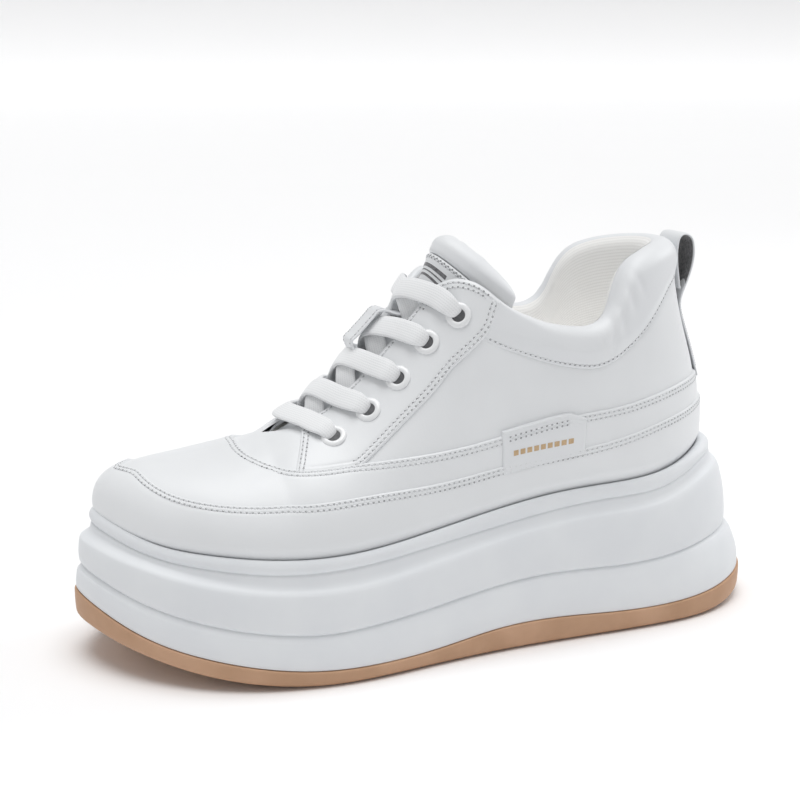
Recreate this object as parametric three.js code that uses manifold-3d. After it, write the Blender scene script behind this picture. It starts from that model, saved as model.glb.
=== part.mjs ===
// Platform sneaker, left shoe: a leather lace-up on a thick flared platform, built as its maker would put it
// together. The frame is in millimetres: +X to the toe, +Y to the outer side of the foot, +Z up, with the
// origin on the floor under the middle of the sole.
import * as THREE from "three";
import { mergeVertices } from "three/addons/utils/BufferGeometryUtils.js";
import Module from "manifold-3d";

const wasm = await Module();
wasm.setup();

// ---------------------------------------------------------------------------------------------------------
// Driving dimensions
// ---------------------------------------------------------------------------------------------------------
const GAP = 0.3; // clearance between pieces that touch
const CUP_GAP = 0.45; // clearance along the curved wall where the upper sits down in the midsole
const CUP_DEPTH = 8; // how far the upper sits down in the midsole
const WALL = 2.4; // upper: leather, backing and lining together
const INSOLE = { thickness: 4, rounded: 1.2 };
const TONGUE_WALL = { thickness: 4.5, roll: 10, thinning: 0.45 }; // roll: its padded top; thinning: its edges
const EYELET = { flange: 4.9, barrel: 3.3, bore: 2.4, lift: 0.6, height: 1, inset: 14.3 };
EYELET.slope = 0.7; // the flange's rounded outer edge
EYELET.mouth = 0.4; // how far the bore opens out at its top
const LACE = { width: 7.5, thickness: 1.8 };
const TREAD = { depth: 2.2, width: 3, pitch: 12, reach: 29, sweep: 7 };
TREAD.zones = [
  { under: "forefoot", from: 16, to: 88 },
  { under: "heel", from: -116, to: -50 },
];
const RIM_LIP = 0.5; // how far the rim's inner edge lies below its outer edge
const STRAP = { width: 15, thickness: 1.5 }; // heel pull strap
const KEEPER = { width: 8, thickness: 1.3, from: 3.69, to: 4.82, rise: 10.4, gap: 0.5, leg: 0.2 };

// Outline of the sole at its widest, a row for each section from the toe tip to the back of the heel.
const OUTLINE = [
  { at: "toe tip", x: 136, outer: -12, inner: -12 },
  { at: "toe", x: 131, outer: 6, inner: -27.5 },
  { at: "toe corner", x: 119, outer: 24, inner: -41.5 },
  { at: "small toe", x: 98, outer: 41, inner: -50.5 },
  { at: "ball", x: 72, outer: 50, inner: -51.2 },
  { at: "tread", x: 45, outer: 51.5, inner: -47 },
  { at: "instep", x: 18, outer: 47.5, inner: -41.5 },
  { at: "waist", x: -12, outer: 43.5, inner: -37.5 },
  { at: "arch end", x: -45, outer: 42, inner: -37.5 },
  { at: "heel front", x: -80, outer: 41, inner: -38 },
  { at: "heel", x: -106, outer: 36, inner: -35 },
  { at: "heel corner", x: -124, outer: 25, inner: -26 },
  { at: "heel turn", x: -133.5, outer: 11.5, inner: -13.5 },
  { at: "heel back", x: -136, outer: -1.5, inner: -1.5 },
];
const LAST = OUTLINE.length - 1; // station of the back of the heel; the toe tip is station 0

// Heights of the sole's lines along its length: toe spring and floor contact, top of the gum rubber, the
// crease round the middle, the shoulder of the main band, the foot of the top bead, and the rim round the
// upper.
const LEVELS = [
  { x: -136, bottom: 3.7, gum: 13.5, crease: 31, shoulder: 56.5, bead: 61, rim: 65.5 },
  { x: -110, bottom: 0.3, gum: 10, crease: 29, shoulder: 54, bead: 59, rim: 63.4 },
  { x: -85, bottom: 0, gum: 8.2, crease: 26.6, shoulder: 48.6, bead: 53.6, rim: 59.4 },
  { x: -60, bottom: 0, gum: 8.4, crease: 26, shoulder: 47, bead: 52.5, rim: 57.9 },
  { x: -35, bottom: 0, gum: 9.7, crease: 26.6, shoulder: 45.5, bead: 50.5, rim: 56.4 },
  { x: -10, bottom: 0, gum: 9.2, crease: 24.9, shoulder: 42, bead: 47, rim: 52.8 },
  { x: 15, bottom: 0, gum: 6.4, crease: 21.5, shoulder: 38.1, bead: 43.8, rim: 48.8 },
  { x: 40, bottom: 0, gum: 5.5, crease: 19.3, shoulder: 35, bead: 41.4, rim: 46 },
  { x: 60, bottom: 0, gum: 5.9, crease: 18.4, shoulder: 34.3, bead: 40.5, rim: 45.2 },
  { x: 80, bottom: 1.5, gum: 8, crease: 20, shoulder: 35.3, bead: 40.9, rim: 45.8 },
  { x: 100, bottom: 4.6, gum: 11.6, crease: 23.2, shoulder: 38, bead: 42.6, rim: 47.2 },
  { x: 120, bottom: 9.5, gum: 17.2, crease: 28.3, shoulder: 42, bead: 45.2, rim: 49.6 },
  { x: 136, bottom: 14.7, gum: 25.5, crease: 34.8, shoulder: 46, bead: 50.5, rim: 55.5 },
];

// Profile of the side wall from the floor up. Each row sits a share of the way from one level to the next,
// plus a rise in millimetres, and stands in from the outline by a different amount at the toe, the sides and
// the heel.
const GUM_WALL = [
  { from: "bottom", to: "gum", share: 0, rise: 0, toe: -4, side: -3.5, heel: -4 },
  { from: "bottom", to: "gum", share: 0, rise: 1, toe: -1.4, side: -1.1, heel: -1.4 },
  { from: "bottom", to: "gum", share: 0, rise: 3, toe: -0.2, side: 0, heel: -0.2 },
  { from: "bottom", to: "gum", share: 1, rise: 0, toe: -0.2, side: -0.2, heel: -0.3 },
];
const MIDSOLE_WALL = [
  { from: "gum", to: "crease", share: 0, rise: GAP, toe: -0.7, side: -0.7, heel: -0.8 },
  { from: "gum", to: "crease", share: 0.4, rise: 0, toe: -0.8, side: -1.1, heel: -1.4 },
  { from: "gum", to: "crease", share: 1, rise: -1.2, toe: -2.4, side: -2.9, heel: -6.4 },
  { from: "gum", to: "crease", share: 1, rise: 0, toe: -3.3, side: -3.8, heel: -7.8 },
  { from: "gum", to: "crease", share: 1, rise: 1.3, toe: -2.3, side: -2.8, heel: -7 },
  { from: "crease", to: "shoulder", share: 0.5, rise: 0, toe: -2.2, side: -2.6, heel: -7.6 },
  { from: "crease", to: "shoulder", share: 1, rise: -2.5, toe: -2.9, side: -3.1, heel: -10.1 },
  { from: "crease", to: "shoulder", share: 1, rise: 0, toe: -4.3, side: -4.4, heel: -12.1 },
  { from: "shoulder", to: "bead", share: 0.5, rise: 0, toe: -6.8, side: -5.9, heel: -13.9 },
  { from: "shoulder", to: "bead", share: 1, rise: 0, toe: -7.1, side: -6, heel: -14.4 },
  { from: "bead", to: "rim", share: 0.55, rise: 0, toe: -6.7, side: -5.7, heel: -14.6 },
  { from: "bead", to: "rim", share: 1, rise: 0, toe: -8.3, side: -7.4, heel: -17.3 },
];
const UPPER_INSET = { toe: -9.6, side: -8.8, heel: -20.4 };
const BLEND_LENGTH = 76; // the toe and heel insets fade into the side inset over this length

// Top edge of the upper's outer skin. Up to the throat base the two sides meet on the ridge (half 0); then
// come the throat, the top of the facing, the collar with its dip, and the raised heel. "pad" is the wall's
// thickness at the edge.
const TOPLINE = [
  { s: 0, x: 100, half: 0, z: 73, pad: WALL },
  { s: 1, x: 98, half: 0, z: 73.2, pad: WALL },
  { s: 2, x: 94, half: 0, z: 73.7, pad: WALL },
  { s: 3, x: 86, half: 0, z: 75.2, pad: WALL },
  { s: 3.6, x: 76.5, half: 0, z: 77.8, pad: WALL },
  { s: 4.1, x: 67, half: 0, z: 81, pad: WALL },
  { s: 4.3, x: 62.5, half: 4.6, z: 82.6, pad: WALL },
  { s: 4.6, x: 55.5, half: 8.2, z: 85.2, pad: WALL },
  { s: 5, x: 46, half: 9.5, z: 90, pad: WALL },
  { s: 5.5, x: 32, half: 10.2, z: 102.4, pad: WALL },
  { s: 6, x: 18, half: 10.8, z: 117.5, pad: WALL },
  { s: 6.3, x: 9.5, half: 11.3, z: 127.8, pad: WALL },
  { s: 6.48, x: 4.6, half: 12.4, z: 133.6, pad: WALL },
  { s: 6.6, x: 0.8, half: 15.6, z: 136.2, pad: WALL },
  { s: 6.75, x: -3.4, half: 19.6, z: 137, pad: WALL },
  { s: 6.9, x: -7.8, half: 24, z: 135.6, pad: WALL },
  { s: 7.05, x: -12.2, half: 27.4, z: 131.8, pad: WALL },
  { s: 7.2, x: -17, half: 29.6, z: 127.3, pad: 3 },
  { s: 7.4, x: -24, half: 31.4, z: 122.2, pad: 5 },
  { s: 7.7, x: -34, half: 32.8, z: 117, pad: 7.5 },
  { s: 8, x: -45, half: 33.5, z: 114.6, pad: 8.5 },
  { s: 8.3, x: -53, half: 33.4, z: 114.8, pad: 9 },
  { s: 8.5, x: -58.2, half: 33, z: 117.6, pad: 9.5 },
  { s: 8.65, x: -61.9, half: 32.3, z: 122.6, pad: 10 },
  { s: 8.8, x: -65.6, half: 31.1, z: 129.6, pad: 10.5 },
  { s: 9, x: -70.5, half: 29.4, z: 135.4, pad: 11 },
  { s: 9.3, x: -77.2, half: 27, z: 138.6, pad: 11 },
  { s: 9.8, x: -85.2, half: 22.6, z: 140.5, pad: 11 },
  { s: 10.5, x: -92, half: 17.2, z: 141.5, pad: 11 },
  { s: 11.3, x: -96.4, half: 11, z: 142, pad: 11 },
  { s: 12.2, x: -98.7, half: 4.8, z: 142.2, pad: 11 },
  { s: 13, x: -99.3, half: 0, z: 142.2, pad: 11 },
];
const THROAT_BASE = 4.1; // station where the ridge ends and the throat opens

// Each rib of the upper is a cubic from the sole's rim to the topline. Its first handle rises and stands out
// from the rim; its second handle drops and stands out from the topline.
const RIBS = [
  { s: 0, rise: 14, out: 1.2, drop: 0.5, over: 16 },
  { s: 1, rise: 14.5, out: 1.5, drop: 0.8, over: 17 },
  { s: 2, rise: 15.5, out: 2.2, drop: 1, over: 20 },
  { s: 3, rise: 17, out: 3.2, drop: 1.3, over: 22 },
  { s: 4, rise: 19.5, out: 3.6, drop: 3, over: 23 },
  { s: 4.6, rise: 21, out: 3.7, drop: 6, over: 20 },
  { s: 5, rise: 22, out: 3.6, drop: 8.5, over: 17.5 },
  { s: 5.5, rise: 25, out: 2.6, drop: 10.6, over: 15 },
  { s: 6, rise: 27.8, out: 2.3, drop: 10.5, over: 15 },
  { s: 6.5, rise: 29.5, out: 2, drop: 11, over: 14.5 },
  { s: 6.75, rise: 29, out: 2.2, drop: 13.5, over: 9.5 },
  { s: 7.05, rise: 27, out: 2.5, drop: 15, over: 4 },
  { s: 7.4, rise: 23, out: 3, drop: 15, over: 2.6 },
  { s: 8, rise: 18, out: 3.4, drop: 18, over: 1.5 },
  { s: 8.5, rise: 20, out: 4, drop: 20, over: 1.8 },
  { s: 9, rise: 25, out: 4.2, drop: 28, over: 2 },
  { s: 9.8, rise: 33, out: 3, drop: 32, over: 2 },
  { s: 11, rise: 35, out: 2, drop: 32, over: 2 },
  { s: 13, rise: 35, out: 1.5, drop: 33, over: 2 },
];
const PAD_ZONE = { from: 0.5, to: 0.86 }; // shares of a rib over which the wall swells into the collar pad

// The tongue from its root under the vamp to its padded top: its middle, its half width, and where its edges
// lie.
const TONGUE = [
  { at: "root", midX: 80, midZ: 73.4, half: 13, edgeX: 80, edgeZ: 69.4 },
  { at: "throat base", midX: 66, midZ: 78, half: 17, edgeX: 66, edgeZ: 70.8 },
  { at: "eyelet 1", midX: 52, midZ: 85.5, half: 19.5, edgeX: 52, edgeZ: 73 },
  { at: "eyelet 2", midX: 38, midZ: 96.8, half: 21.5, edgeX: 38, edgeZ: 79.5 },
  { at: "eyelet 3", midX: 24, midZ: 110.2, half: 21, edgeX: 24, edgeZ: 89.5 },
  { at: "eyelet 4", midX: 12, midZ: 123, half: 22, edgeX: 10, edgeZ: 101.5 },
  { at: "eyelet 5", midX: 4, midZ: 135, half: 23.5, edgeX: -7.5, edgeZ: 112.5 },
  { at: "label", midX: 1, midZ: 142.4, half: 25.6, edgeX: -17.5, edgeZ: 121.5 },
  { at: "top", midX: -1.6, midZ: 148.2, half: 26.5, edgeX: -21, edgeZ: 129.5 },
];

// Lacing, a row for each pair of eyelets: their station along the topline, the station where the strand that
// ends there comes over the facing's edge, and the tongue rows where the next pair of strands starts and
// crosses.
const LACING = [
  { row: 1, eyelet: 4.95, edge: 4.7, start: 2.25, cross: 2.6 },
  { row: 2, eyelet: 5.42, edge: 5.2, start: 3.1, cross: 3.45 },
  { row: 3, eyelet: 5.83, edge: 5.62, start: 4, cross: 4.24 },
  { row: 4, eyelet: 6.22, edge: 6.02, start: 5.1, cross: 5.4 },
  { row: 5, eyelet: 6.62, edge: 6.4, start: 5.6, cross: 6 },
];
const BAR_ROW = 1.75; // tongue row under the middle of the straight bar

// ---------------------------------------------------------------------------------------------------------
// Curves
// ---------------------------------------------------------------------------------------------------------
// Natural cubic spline through rising keys.
function spline(keys, values) {
  const n = keys.length;
  const bend = new Array(n).fill(0);
  const carry = new Array(n).fill(0);
  for (let i = 1; i < n - 1; i++) {
    const left = keys[i] - keys[i - 1];
    const right = keys[i + 1] - keys[i];
    const pull = 2 * (left + right) - left * bend[i - 1];
    const turn = (values[i + 1] - values[i]) / right - (values[i] - values[i - 1]) / left;
    bend[i] = right / pull;
    carry[i] = (6 * turn - left * carry[i - 1]) / pull;
  }
  const second = new Array(n).fill(0);
  for (let i = n - 2; i > 0; i--) second[i] = carry[i] - bend[i] * second[i + 1];
  return (key) => {
    const k = THREE.MathUtils.clamp(key, keys[0], keys[n - 1]);
    let i = 0;
    while (i < n - 2 && k > keys[i + 1]) i++;
    const h = keys[i + 1] - keys[i];
    const a = (keys[i + 1] - k) / h;
    const b = 1 - a;
    const cubic = (a ** 3 - a) * second[i] + (b ** 3 - b) * second[i + 1];
    return a * values[i] + b * values[i + 1] + (cubic * h * h) / 6;
  };
}

// Turns a table into one spline for each column.
function columns(rows, key) {
  const keys = rows.map((row, i) => (key ? row[key] : i));
  const names = Object.keys(rows[0]).filter((name) => name !== key && name !== "at");
  const curve = (name) => spline(keys, rows.map((row) => row[name]));
  return Object.fromEntries(names.map((name) => [name, curve(name)]));
}

const levels = columns(LEVELS, "x");
const topline = columns(TOPLINE, "s");
const ribs = columns(RIBS, "s");
const tongueRows = columns(TONGUE);
const smooth = THREE.MathUtils.smoothstep;

// The closed outline. A place round the shoe is u: 0 at the toe tip, positive down the outer side and
// negative down the inner side, with both ending at the back of the heel.
const around = [];
for (let i = -LAST - 3; i <= LAST + 3; i++) {
  const wrapped = ((i + LAST + 2 * LAST) % (2 * LAST)) - LAST;
  const row = OUTLINE[Math.abs(wrapped)];
  around.push({ u: i, x: row.x, y: wrapped >= 0 ? row.outer : row.inner });
}
const outline = columns(around, "u");

// The same place by one name only, so the two ways round the heel meet exactly.
function placeOf(u) {
  if (u <= -LAST) return u + 2 * LAST;
  return u > LAST ? u - 2 * LAST : u + 0;
}

function outlineNormal(u) {
  const h = 0.01;
  const place = placeOf(u);
  const dx = outline.x(place + h) - outline.x(place - h);
  const dy = outline.y(place + h) - outline.y(place - h);
  return new THREE.Vector3(dy, -dx, 0).normalize();
}

// Inset at a place along the sole, from its values at the toe, the sides and the heel.
function insetAt(x, { toe, side, heel }) {
  const tipX = OUTLINE[0].x;
  const heelX = OUTLINE[LAST].x;
  return (
    side +
    (toe - side) * smooth(x, tipX - BLEND_LENGTH, tipX) +
    (heel - side) * smooth(-x, -heelX - BLEND_LENGTH, -heelX)
  );
}

// A point at place u, standing in from the outline, at the height that heightAt gives for its section.
function soleEdge(u, inset, heightAt) {
  const place = placeOf(u);
  const x = outline.x(place);
  const point = outlineNormal(place).multiplyScalar(insetAt(x, inset));
  return point.add(new THREE.Vector3(x, outline.y(place), heightAt(x)));
}

// Middle line of the last, which swings to the inner side at the toe.
const SWING = { from: 20, to: 136, by: 13, power: 1.6, heel: 1 };
function middle(x) {
  const share = Math.max(0, x - SWING.from) / (SWING.to - SWING.from);
  return SWING.heel - SWING.by * share ** SWING.power;
}

// ---------------------------------------------------------------------------------------------------------
// Closed meshes
// ---------------------------------------------------------------------------------------------------------
class Skin {
  constructor() {
    this.corners = [];
  }
  triangle(a, b, c) {
    const tiny = 1e-8;
    const shortest = Math.min(a.distanceToSquared(b), b.distanceToSquared(c), c.distanceToSquared(a));
    if (shortest < tiny) return;
    for (const p of [a, b, c]) this.corners.push(p.x, p.y, p.z);
  }
  // A net of points, rows by columns. Its faces look along (next row) x (next column), or the other way if
  // flipped.
  net(points, flipped = false) {
    for (let i = 0; i + 1 < points.length; i++)
      for (let j = 0; j + 1 < points[i].length; j++) {
        const [a, b, c, d] = [points[i][j], points[i + 1][j], points[i + 1][j + 1], points[i][j + 1]];
        if (flipped) {
          this.triangle(a, c, b);
          this.triangle(a, d, c);
        } else {
          this.triangle(a, b, c);
          this.triangle(a, c, d);
        }
      }
  }
  geometry() {
    const made = new THREE.BufferGeometry();
    made.setAttribute("position", new THREE.Float32BufferAttribute(this.corners, 3));
    return made;
  }
}

// A solid from rings stacked one on the next, each a function of u. Both ends are closed by strips that run
// straight across the shoe, from the outer side to the inner side.
function stackedSolid(rings, stations, across = 4) {
  const skin = new Skin();
  for (const side of [1, -1]) {
    const wall = stations.map((s) => rings.map((ring) => ring(side * s)));
    skin.net(wall, side < 0);
  }
  const lid = (ring) =>
    stations.map((s) => {
      const from = ring(s);
      const to = ring(-s);
      return Array.from({ length: across + 1 }, (_, k) => from.clone().lerp(to, k / across));
    });
  skin.net(lid(rings[0]), true);
  skin.net(lid(rings[rings.length - 1]), false);
  return skin.geometry();
}

// A flat band swept along points, with its face turned to the normals. The section is in widths and
// thicknesses.
const BAND_SECTION = [
  [-0.5, 0],
  [-0.4, 0.5],
  [0.4, 0.5],
  [0.5, 0],
  [0.4, -0.5],
  [-0.4, -0.5],
];
function bandSolid(path, normals, width, thickness) {
  const skin = new Skin();
  const rings = path.map((p, i) => {
    const before = path[Math.max(0, i - 1)];
    const after = path[Math.min(path.length - 1, i + 1)];
    const along = after.clone().sub(before).normalize();
    const across = normals[i].clone().cross(along).normalize();
    const up = along.clone().cross(across).normalize();
    const corner = (w, t) => p.clone().addScaledVector(across, w * width).addScaledVector(up, t * thickness);
    return BAND_SECTION.map(([w, t]) => corner(w, t));
  });
  skin.net(rings.map((ring) => [...ring, ring[0]]));
  const first = rings[0];
  const last = rings[rings.length - 1];
  for (let k = 1; k + 1 < first.length; k++) {
    skin.triangle(first[0], first[k], first[k + 1]);
    skin.triangle(last[0], last[k + 1], last[k]);
  }
  return skin.geometry();
}

// manifold-3d: a closed geometry to a solid, and back.
function solidOf(geometry) {
  const bare = geometry.index ? geometry.toNonIndexed() : geometry.clone();
  const points = new THREE.BufferGeometry().setAttribute("position", bare.getAttribute("position"));
  const merged = mergeVertices(points, 1e-3);
  const vertProperties = merged.attributes.position.array;
  const triVerts = new Uint32Array(merged.index.array);
  return new wasm.Manifold(new wasm.Mesh({ numProp: 3, vertProperties, triVerts }));
}
function geometryOf(solid) {
  const mesh = solid.getMesh();
  const made = new THREE.BufferGeometry();
  made.setAttribute("position", new THREE.BufferAttribute(new Float32Array(mesh.vertProperties), 3));
  made.setIndex(new THREE.BufferAttribute(new Uint32Array(mesh.triVerts), 1));
  return made;
}

// ---------------------------------------------------------------------------------------------------------
// Sole: gum outsole, platform midsole and insole
// ---------------------------------------------------------------------------------------------------------
const SOLE_STATIONS = [];
for (let s = 0; s <= LAST; s += 0.5) SOLE_STATIONS.push(s);

function wallRing(row) {
  const height = (x) => {
    const low = levels[row.from](x);
    return Math.max(0, low + (levels[row.to](x) - low) * row.share + row.rise);
  };
  return (u) => soleEdge(u, row, height);
}

// One V-shaped groove across the tread, deep enough to reach the sole where the toe springs up.
function treadGroove(x) {
  const { reach, sweep, width, depth } = TREAD;
  const shape = new THREE.Shape();
  shape.moveTo(x, -reach);
  shape.lineTo(x + sweep, 0);
  shape.lineTo(x, reach);
  shape.lineTo(x + width, reach);
  shape.lineTo(x + sweep + width, 0);
  shape.lineTo(x + width, -reach);
  const below = 1;
  const tall = below + levels.bottom(x) + depth;
  const groove = new THREE.ExtrudeGeometry(shape, { depth: tall, bevelEnabled: false });
  return groove.translate(0, 0, -below);
}

function outsoleGeometry() {
  let outsole = solidOf(stackedSolid(GUM_WALL.map(wallRing), SOLE_STATIONS));
  for (const { from, to } of TREAD.zones)
    for (let x = from; x <= to; x += TREAD.pitch) outsole = outsole.subtract(solidOf(treadGroove(x)));
  return geometryOf(outsole);
}

function grown(inset, by) {
  return { toe: inset.toe + by, side: inset.side + by, heel: inset.heel + by };
}

function midsoleGeometry() {
  const cupWall = grown(UPPER_INSET, CUP_GAP);
  const lip = (x) => levels.rim(x) - RIM_LIP;
  const floor = (x) => levels.rim(x) - CUP_DEPTH - GAP;
  const cup = [(u) => soleEdge(u, cupWall, lip), (u) => soleEdge(u, cupWall, floor)];
  return stackedSolid([...MIDSOLE_WALL.map(wallRing), ...cup], SOLE_STATIONS);
}

function insoleGeometry() {
  const edge = grown(UPPER_INSET, -WALL - GAP);
  const low = (x) => levels.rim(x) - CUP_DEPTH;
  const high = (x) => low(x) + INSOLE.thickness;
  const bend = (x) => high(x) - INSOLE.rounded;
  const top = grown(edge, -INSOLE.rounded);
  const rings = [
    (u) => soleEdge(u, edge, low),
    (u) => soleEdge(u, edge, bend),
    (u) => soleEdge(u, top, high),
  ];
  return stackedSolid(rings, SOLE_STATIONS, 2);
}

// ---------------------------------------------------------------------------------------------------------
// Upper
// ---------------------------------------------------------------------------------------------------------
// The outer skin: place u round the shoe, share v up the rib.
function skinPoint(u, v) {
  const s = Math.abs(u);
  const side = Math.sign(u) || 1;
  const foot = soleEdge(u, UPPER_INSET, levels.rim);
  const outward = outlineNormal(u);
  const topX = topline.x(s);
  const half = s < THROAT_BASE ? 0 : Math.max(0, topline.half(s));
  const top = new THREE.Vector3(topX, middle(topX) + side * half, topline.z(s));
  const low = foot.clone().addScaledVector(outward, ribs.out(s));
  low.z += ribs.rise(s);
  const high = top.clone().addScaledVector(outward, ribs.over(s));
  high.z -= ribs.drop(s);
  return new THREE.CubicBezierCurve3(foot, low, high, top).getPoint(v);
}

function skinNormal(u, v) {
  const h = 0.02;
  const at = (place) => {
    const round = skinPoint(placeOf(place + h), v).sub(skinPoint(placeOf(place - h), v));
    const above = skinPoint(placeOf(place), Math.min(1, v + h));
    const below = skinPoint(placeOf(place), Math.max(0, v - h));
    return round.cross(above.sub(below)).normalize();
  };
  const onRidge = v > 1 - h && Math.abs(u) <= THROAT_BASE;
  return onRidge ? at(u).add(at(-u)).normalize() : at(u);
}

function wallThickness(s, v) {
  return WALL + (topline.pad(s) - WALL) * smooth(v, PAD_ZONE.from, PAD_ZONE.to);
}

// Stations of the upper, closer together round the facing's corner and where the collar climbs to the heel.
const UPPER_STATIONS = [0];
for (const { upTo, step } of [
  { upTo: THROAT_BASE, step: 0.5 },
  { upTo: 6.3, step: 0.32 },
  { upTo: 7.2, step: 0.18 },
  { upTo: 8.4, step: 0.4 },
  { upTo: 9.4, step: 0.17 },
  { upTo: LAST, step: 0.45 },
]) {
  const from = UPPER_STATIONS[UPPER_STATIONS.length - 1];
  const count = Math.round((upTo - from) / step);
  for (let i = 1; i <= count; i++) UPPER_STATIONS.push(from + ((upTo - from) * i) / count);
}
const RIB_STEPS = 7;
const EYELET_SIDES = 12;
const HALF_ROUND = [0, 0.25, 0.5, 0.75, 1]; // shares of the way over a rolled edge

function upperGeometry() {
  const skin = new Skin();
  const down = new THREE.Vector3(0, 0, -CUP_DEPTH);
  const shares = Array.from({ length: RIB_STEPS + 1 }, (_, j) => j / RIB_STEPS);
  for (const side of [1, -1]) {
    const outer = [];
    const inner = [];
    const rim = [];
    for (const s of UPPER_STATIONS) {
      const u = side * s;
      const out = shares.map((v) => skinPoint(u, v));
      const normals = shares.map((v) => skinNormal(u, v));
      const inn = shares.map((v, j) => out[j].clone().addScaledVector(normals[j], -wallThickness(s, v)));
      const outward = outlineNormal(u);
      const foot = out[0].clone();
      inn[0] = foot.clone().addScaledVector(outward, -WALL);
      outer.push([foot.clone().add(down), ...out]);
      inner.push([inn[0].clone().add(down), ...inn]);
      if (s >= THROAT_BASE) {
        // The edge is rolled over in a half round, which flattens out at the base of the throat.
        const fade = Math.min(1, (s - THROAT_BASE) / 0.2);
        const a = out[RIB_STEPS];
        const b = inn[RIB_STEPS];
        const up = a.clone().sub(out[RIB_STEPS - 1]).normalize();
        const roll = 0.5 * a.distanceTo(b) * fade;
        rim.push(HALF_ROUND.map((share) => {
          const angle = Math.PI * share;
          const along = (1 - Math.cos(angle)) / 2;
          return a.clone().lerp(b, along).addScaledVector(up, roll * Math.sin(angle));
        }));
      }
    }
    const inwardEdge = outer.map((row, i) => [inner[i][0], row[0]]);
    skin.net(outer, side < 0);
    skin.net(inner, side > 0);
    skin.net(rim, side < 0);
    skin.net(inwardEdge, side < 0);
  }
  let upper = solidOf(skin.geometry());
  for (const { place, normal } of eyeletSeats()) {
    const hole = new THREE.CylinderGeometry(EYELET.barrel + GAP, EYELET.barrel + GAP, 5 * WALL, EYELET_SIDES);
    hole.rotateX(Math.PI / 2).applyQuaternion(turnTo(normal)).translate(place.x, place.y, place.z);
    upper = upper.subtract(solidOf(hole));
  }
  return geometryOf(upper);
}

function turnTo(normal) {
  return new THREE.Quaternion().setFromUnitVectors(new THREE.Vector3(0, 0, 1), normal);
}

// A seat on the facing, a set distance down the rib from the topline.
function seatOn(u, distance) {
  const step = 0.002;
  const top = skinPoint(u, 1);
  let v = 1;
  while (v > 0 && skinPoint(u, v).distanceTo(top) < distance) v -= step;
  return { place: skinPoint(u, v), normal: skinNormal(u, v) };
}

function eyeletSeats() {
  return LACING.flatMap(({ row, eyelet }) =>
    [1, -1].map((side) => ({ row, side, ...seatOn(side * eyelet, EYELET.inset) })),
  );
}

// ---------------------------------------------------------------------------------------------------------
// Tongue and its lace keeper
// ---------------------------------------------------------------------------------------------------------
// Front face of the tongue: r runs over the rows of its table, w from -1 at the inner edge to 1 at the
// outer.
const TONGUE_BOW = 1.8; // power of the curve from its middle to its edges
function tonguePoint(r, w) {
  const bow = Math.abs(w) ** TONGUE_BOW;
  const midX = tongueRows.midX(r);
  const midZ = tongueRows.midZ(r);
  const x = midX + (tongueRows.edgeX(r) - midX) * bow;
  const z = midZ + (tongueRows.edgeZ(r) - midZ) * bow;
  return new THREE.Vector3(x, middle(midX) + tongueRows.half(r) * w, z);
}

function tongueNormal(r, w) {
  const h = 0.05;
  const end = TONGUE.length - 1;
  const up = tonguePoint(Math.min(end, r + h), w).sub(tonguePoint(Math.max(0, r - h), w));
  const over = tonguePoint(r, Math.min(1, w + h)).sub(tonguePoint(r, Math.max(-1, w - h)));
  return over.cross(up).normalize();
}

function tongueGeometry() {
  const end = TONGUE.length - 1;
  const skin = new Skin();
  const rows = Array.from({ length: 2 * end + 1 }, (_, i) => i / 2);
  const across = Array.from({ length: 11 }, (_, i) => i / 5 - 1);
  const { thickness, roll: rolled, thinning } = TONGUE_WALL;
  const deep = (r) => thickness + (rolled - thickness) * smooth(r, end - 2, end);
  const front = rows.map((r) => across.map((w) => tonguePoint(r, w)));
  const back = rows.map((r) =>
    across.map((w) => {
      const thin = 1 - thinning * Math.abs(w) ** 4;
      return tonguePoint(r, w).addScaledVector(tongueNormal(r, w), -deep(r) * thin);
    }),
  );
  // The top edge is a flattened half round from the front face over to the back.
  const flattened = 0.42;
  const roll = HALF_ROUND.map((share) =>
    across.map((_, j) => {
      const a = front[rows.length - 1][j];
      const b = back[rows.length - 1][j];
      const up = a.clone().sub(front[rows.length - 2][j]).normalize();
      const angle = Math.PI * share;
      const lift = flattened * a.distanceTo(b) * Math.sin(angle);
      return a.clone().lerp(b, (1 - Math.cos(angle)) / 2).addScaledVector(up, lift);
    }),
  );
  const side = across.length - 1;
  skin.net(front, true);
  skin.net(back);
  skin.net(roll, true);
  skin.net([back[0], front[0]], true);
  skin.net(rows.map((_, i) => [back[i][0], front[i][0]]), true);
  skin.net(rows.map((_, i) => [front[i][side], back[i][side]]), true);
  for (let k = 1; k + 1 < roll.length; k++) {
    skin.triangle(roll[0][0], roll[k][0], roll[k + 1][0]);
    skin.triangle(roll[0][side], roll[k + 1][side], roll[k][side]);
  }
  return skin.geometry();
}

// The lace keeper: a strip lengthways over the middle of the tongue, from one tongue row to another, bowed
// out to leave a tunnel for the lace crossing.
function keeperGeometry() {
  const steps = 12;
  const path = [];
  const normals = [];
  for (let i = 0; i <= steps; i++) {
    const share = i / steps;
    const r = KEEPER.from + (KEEPER.to - KEEPER.from) * share;
    const normal = tongueNormal(r, 0);
    const bow = smooth(Math.min(share, 1 - share), 0, KEEPER.leg);
    const lift = KEEPER.gap + KEEPER.thickness / 2 + (KEEPER.rise - KEEPER.thickness) * bow;
    path.push(tonguePoint(r, 0).addScaledVector(normal, lift));
    normals.push(normal);
  }
  return bandSolid(path, normals, KEEPER.width, KEEPER.thickness);
}

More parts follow.
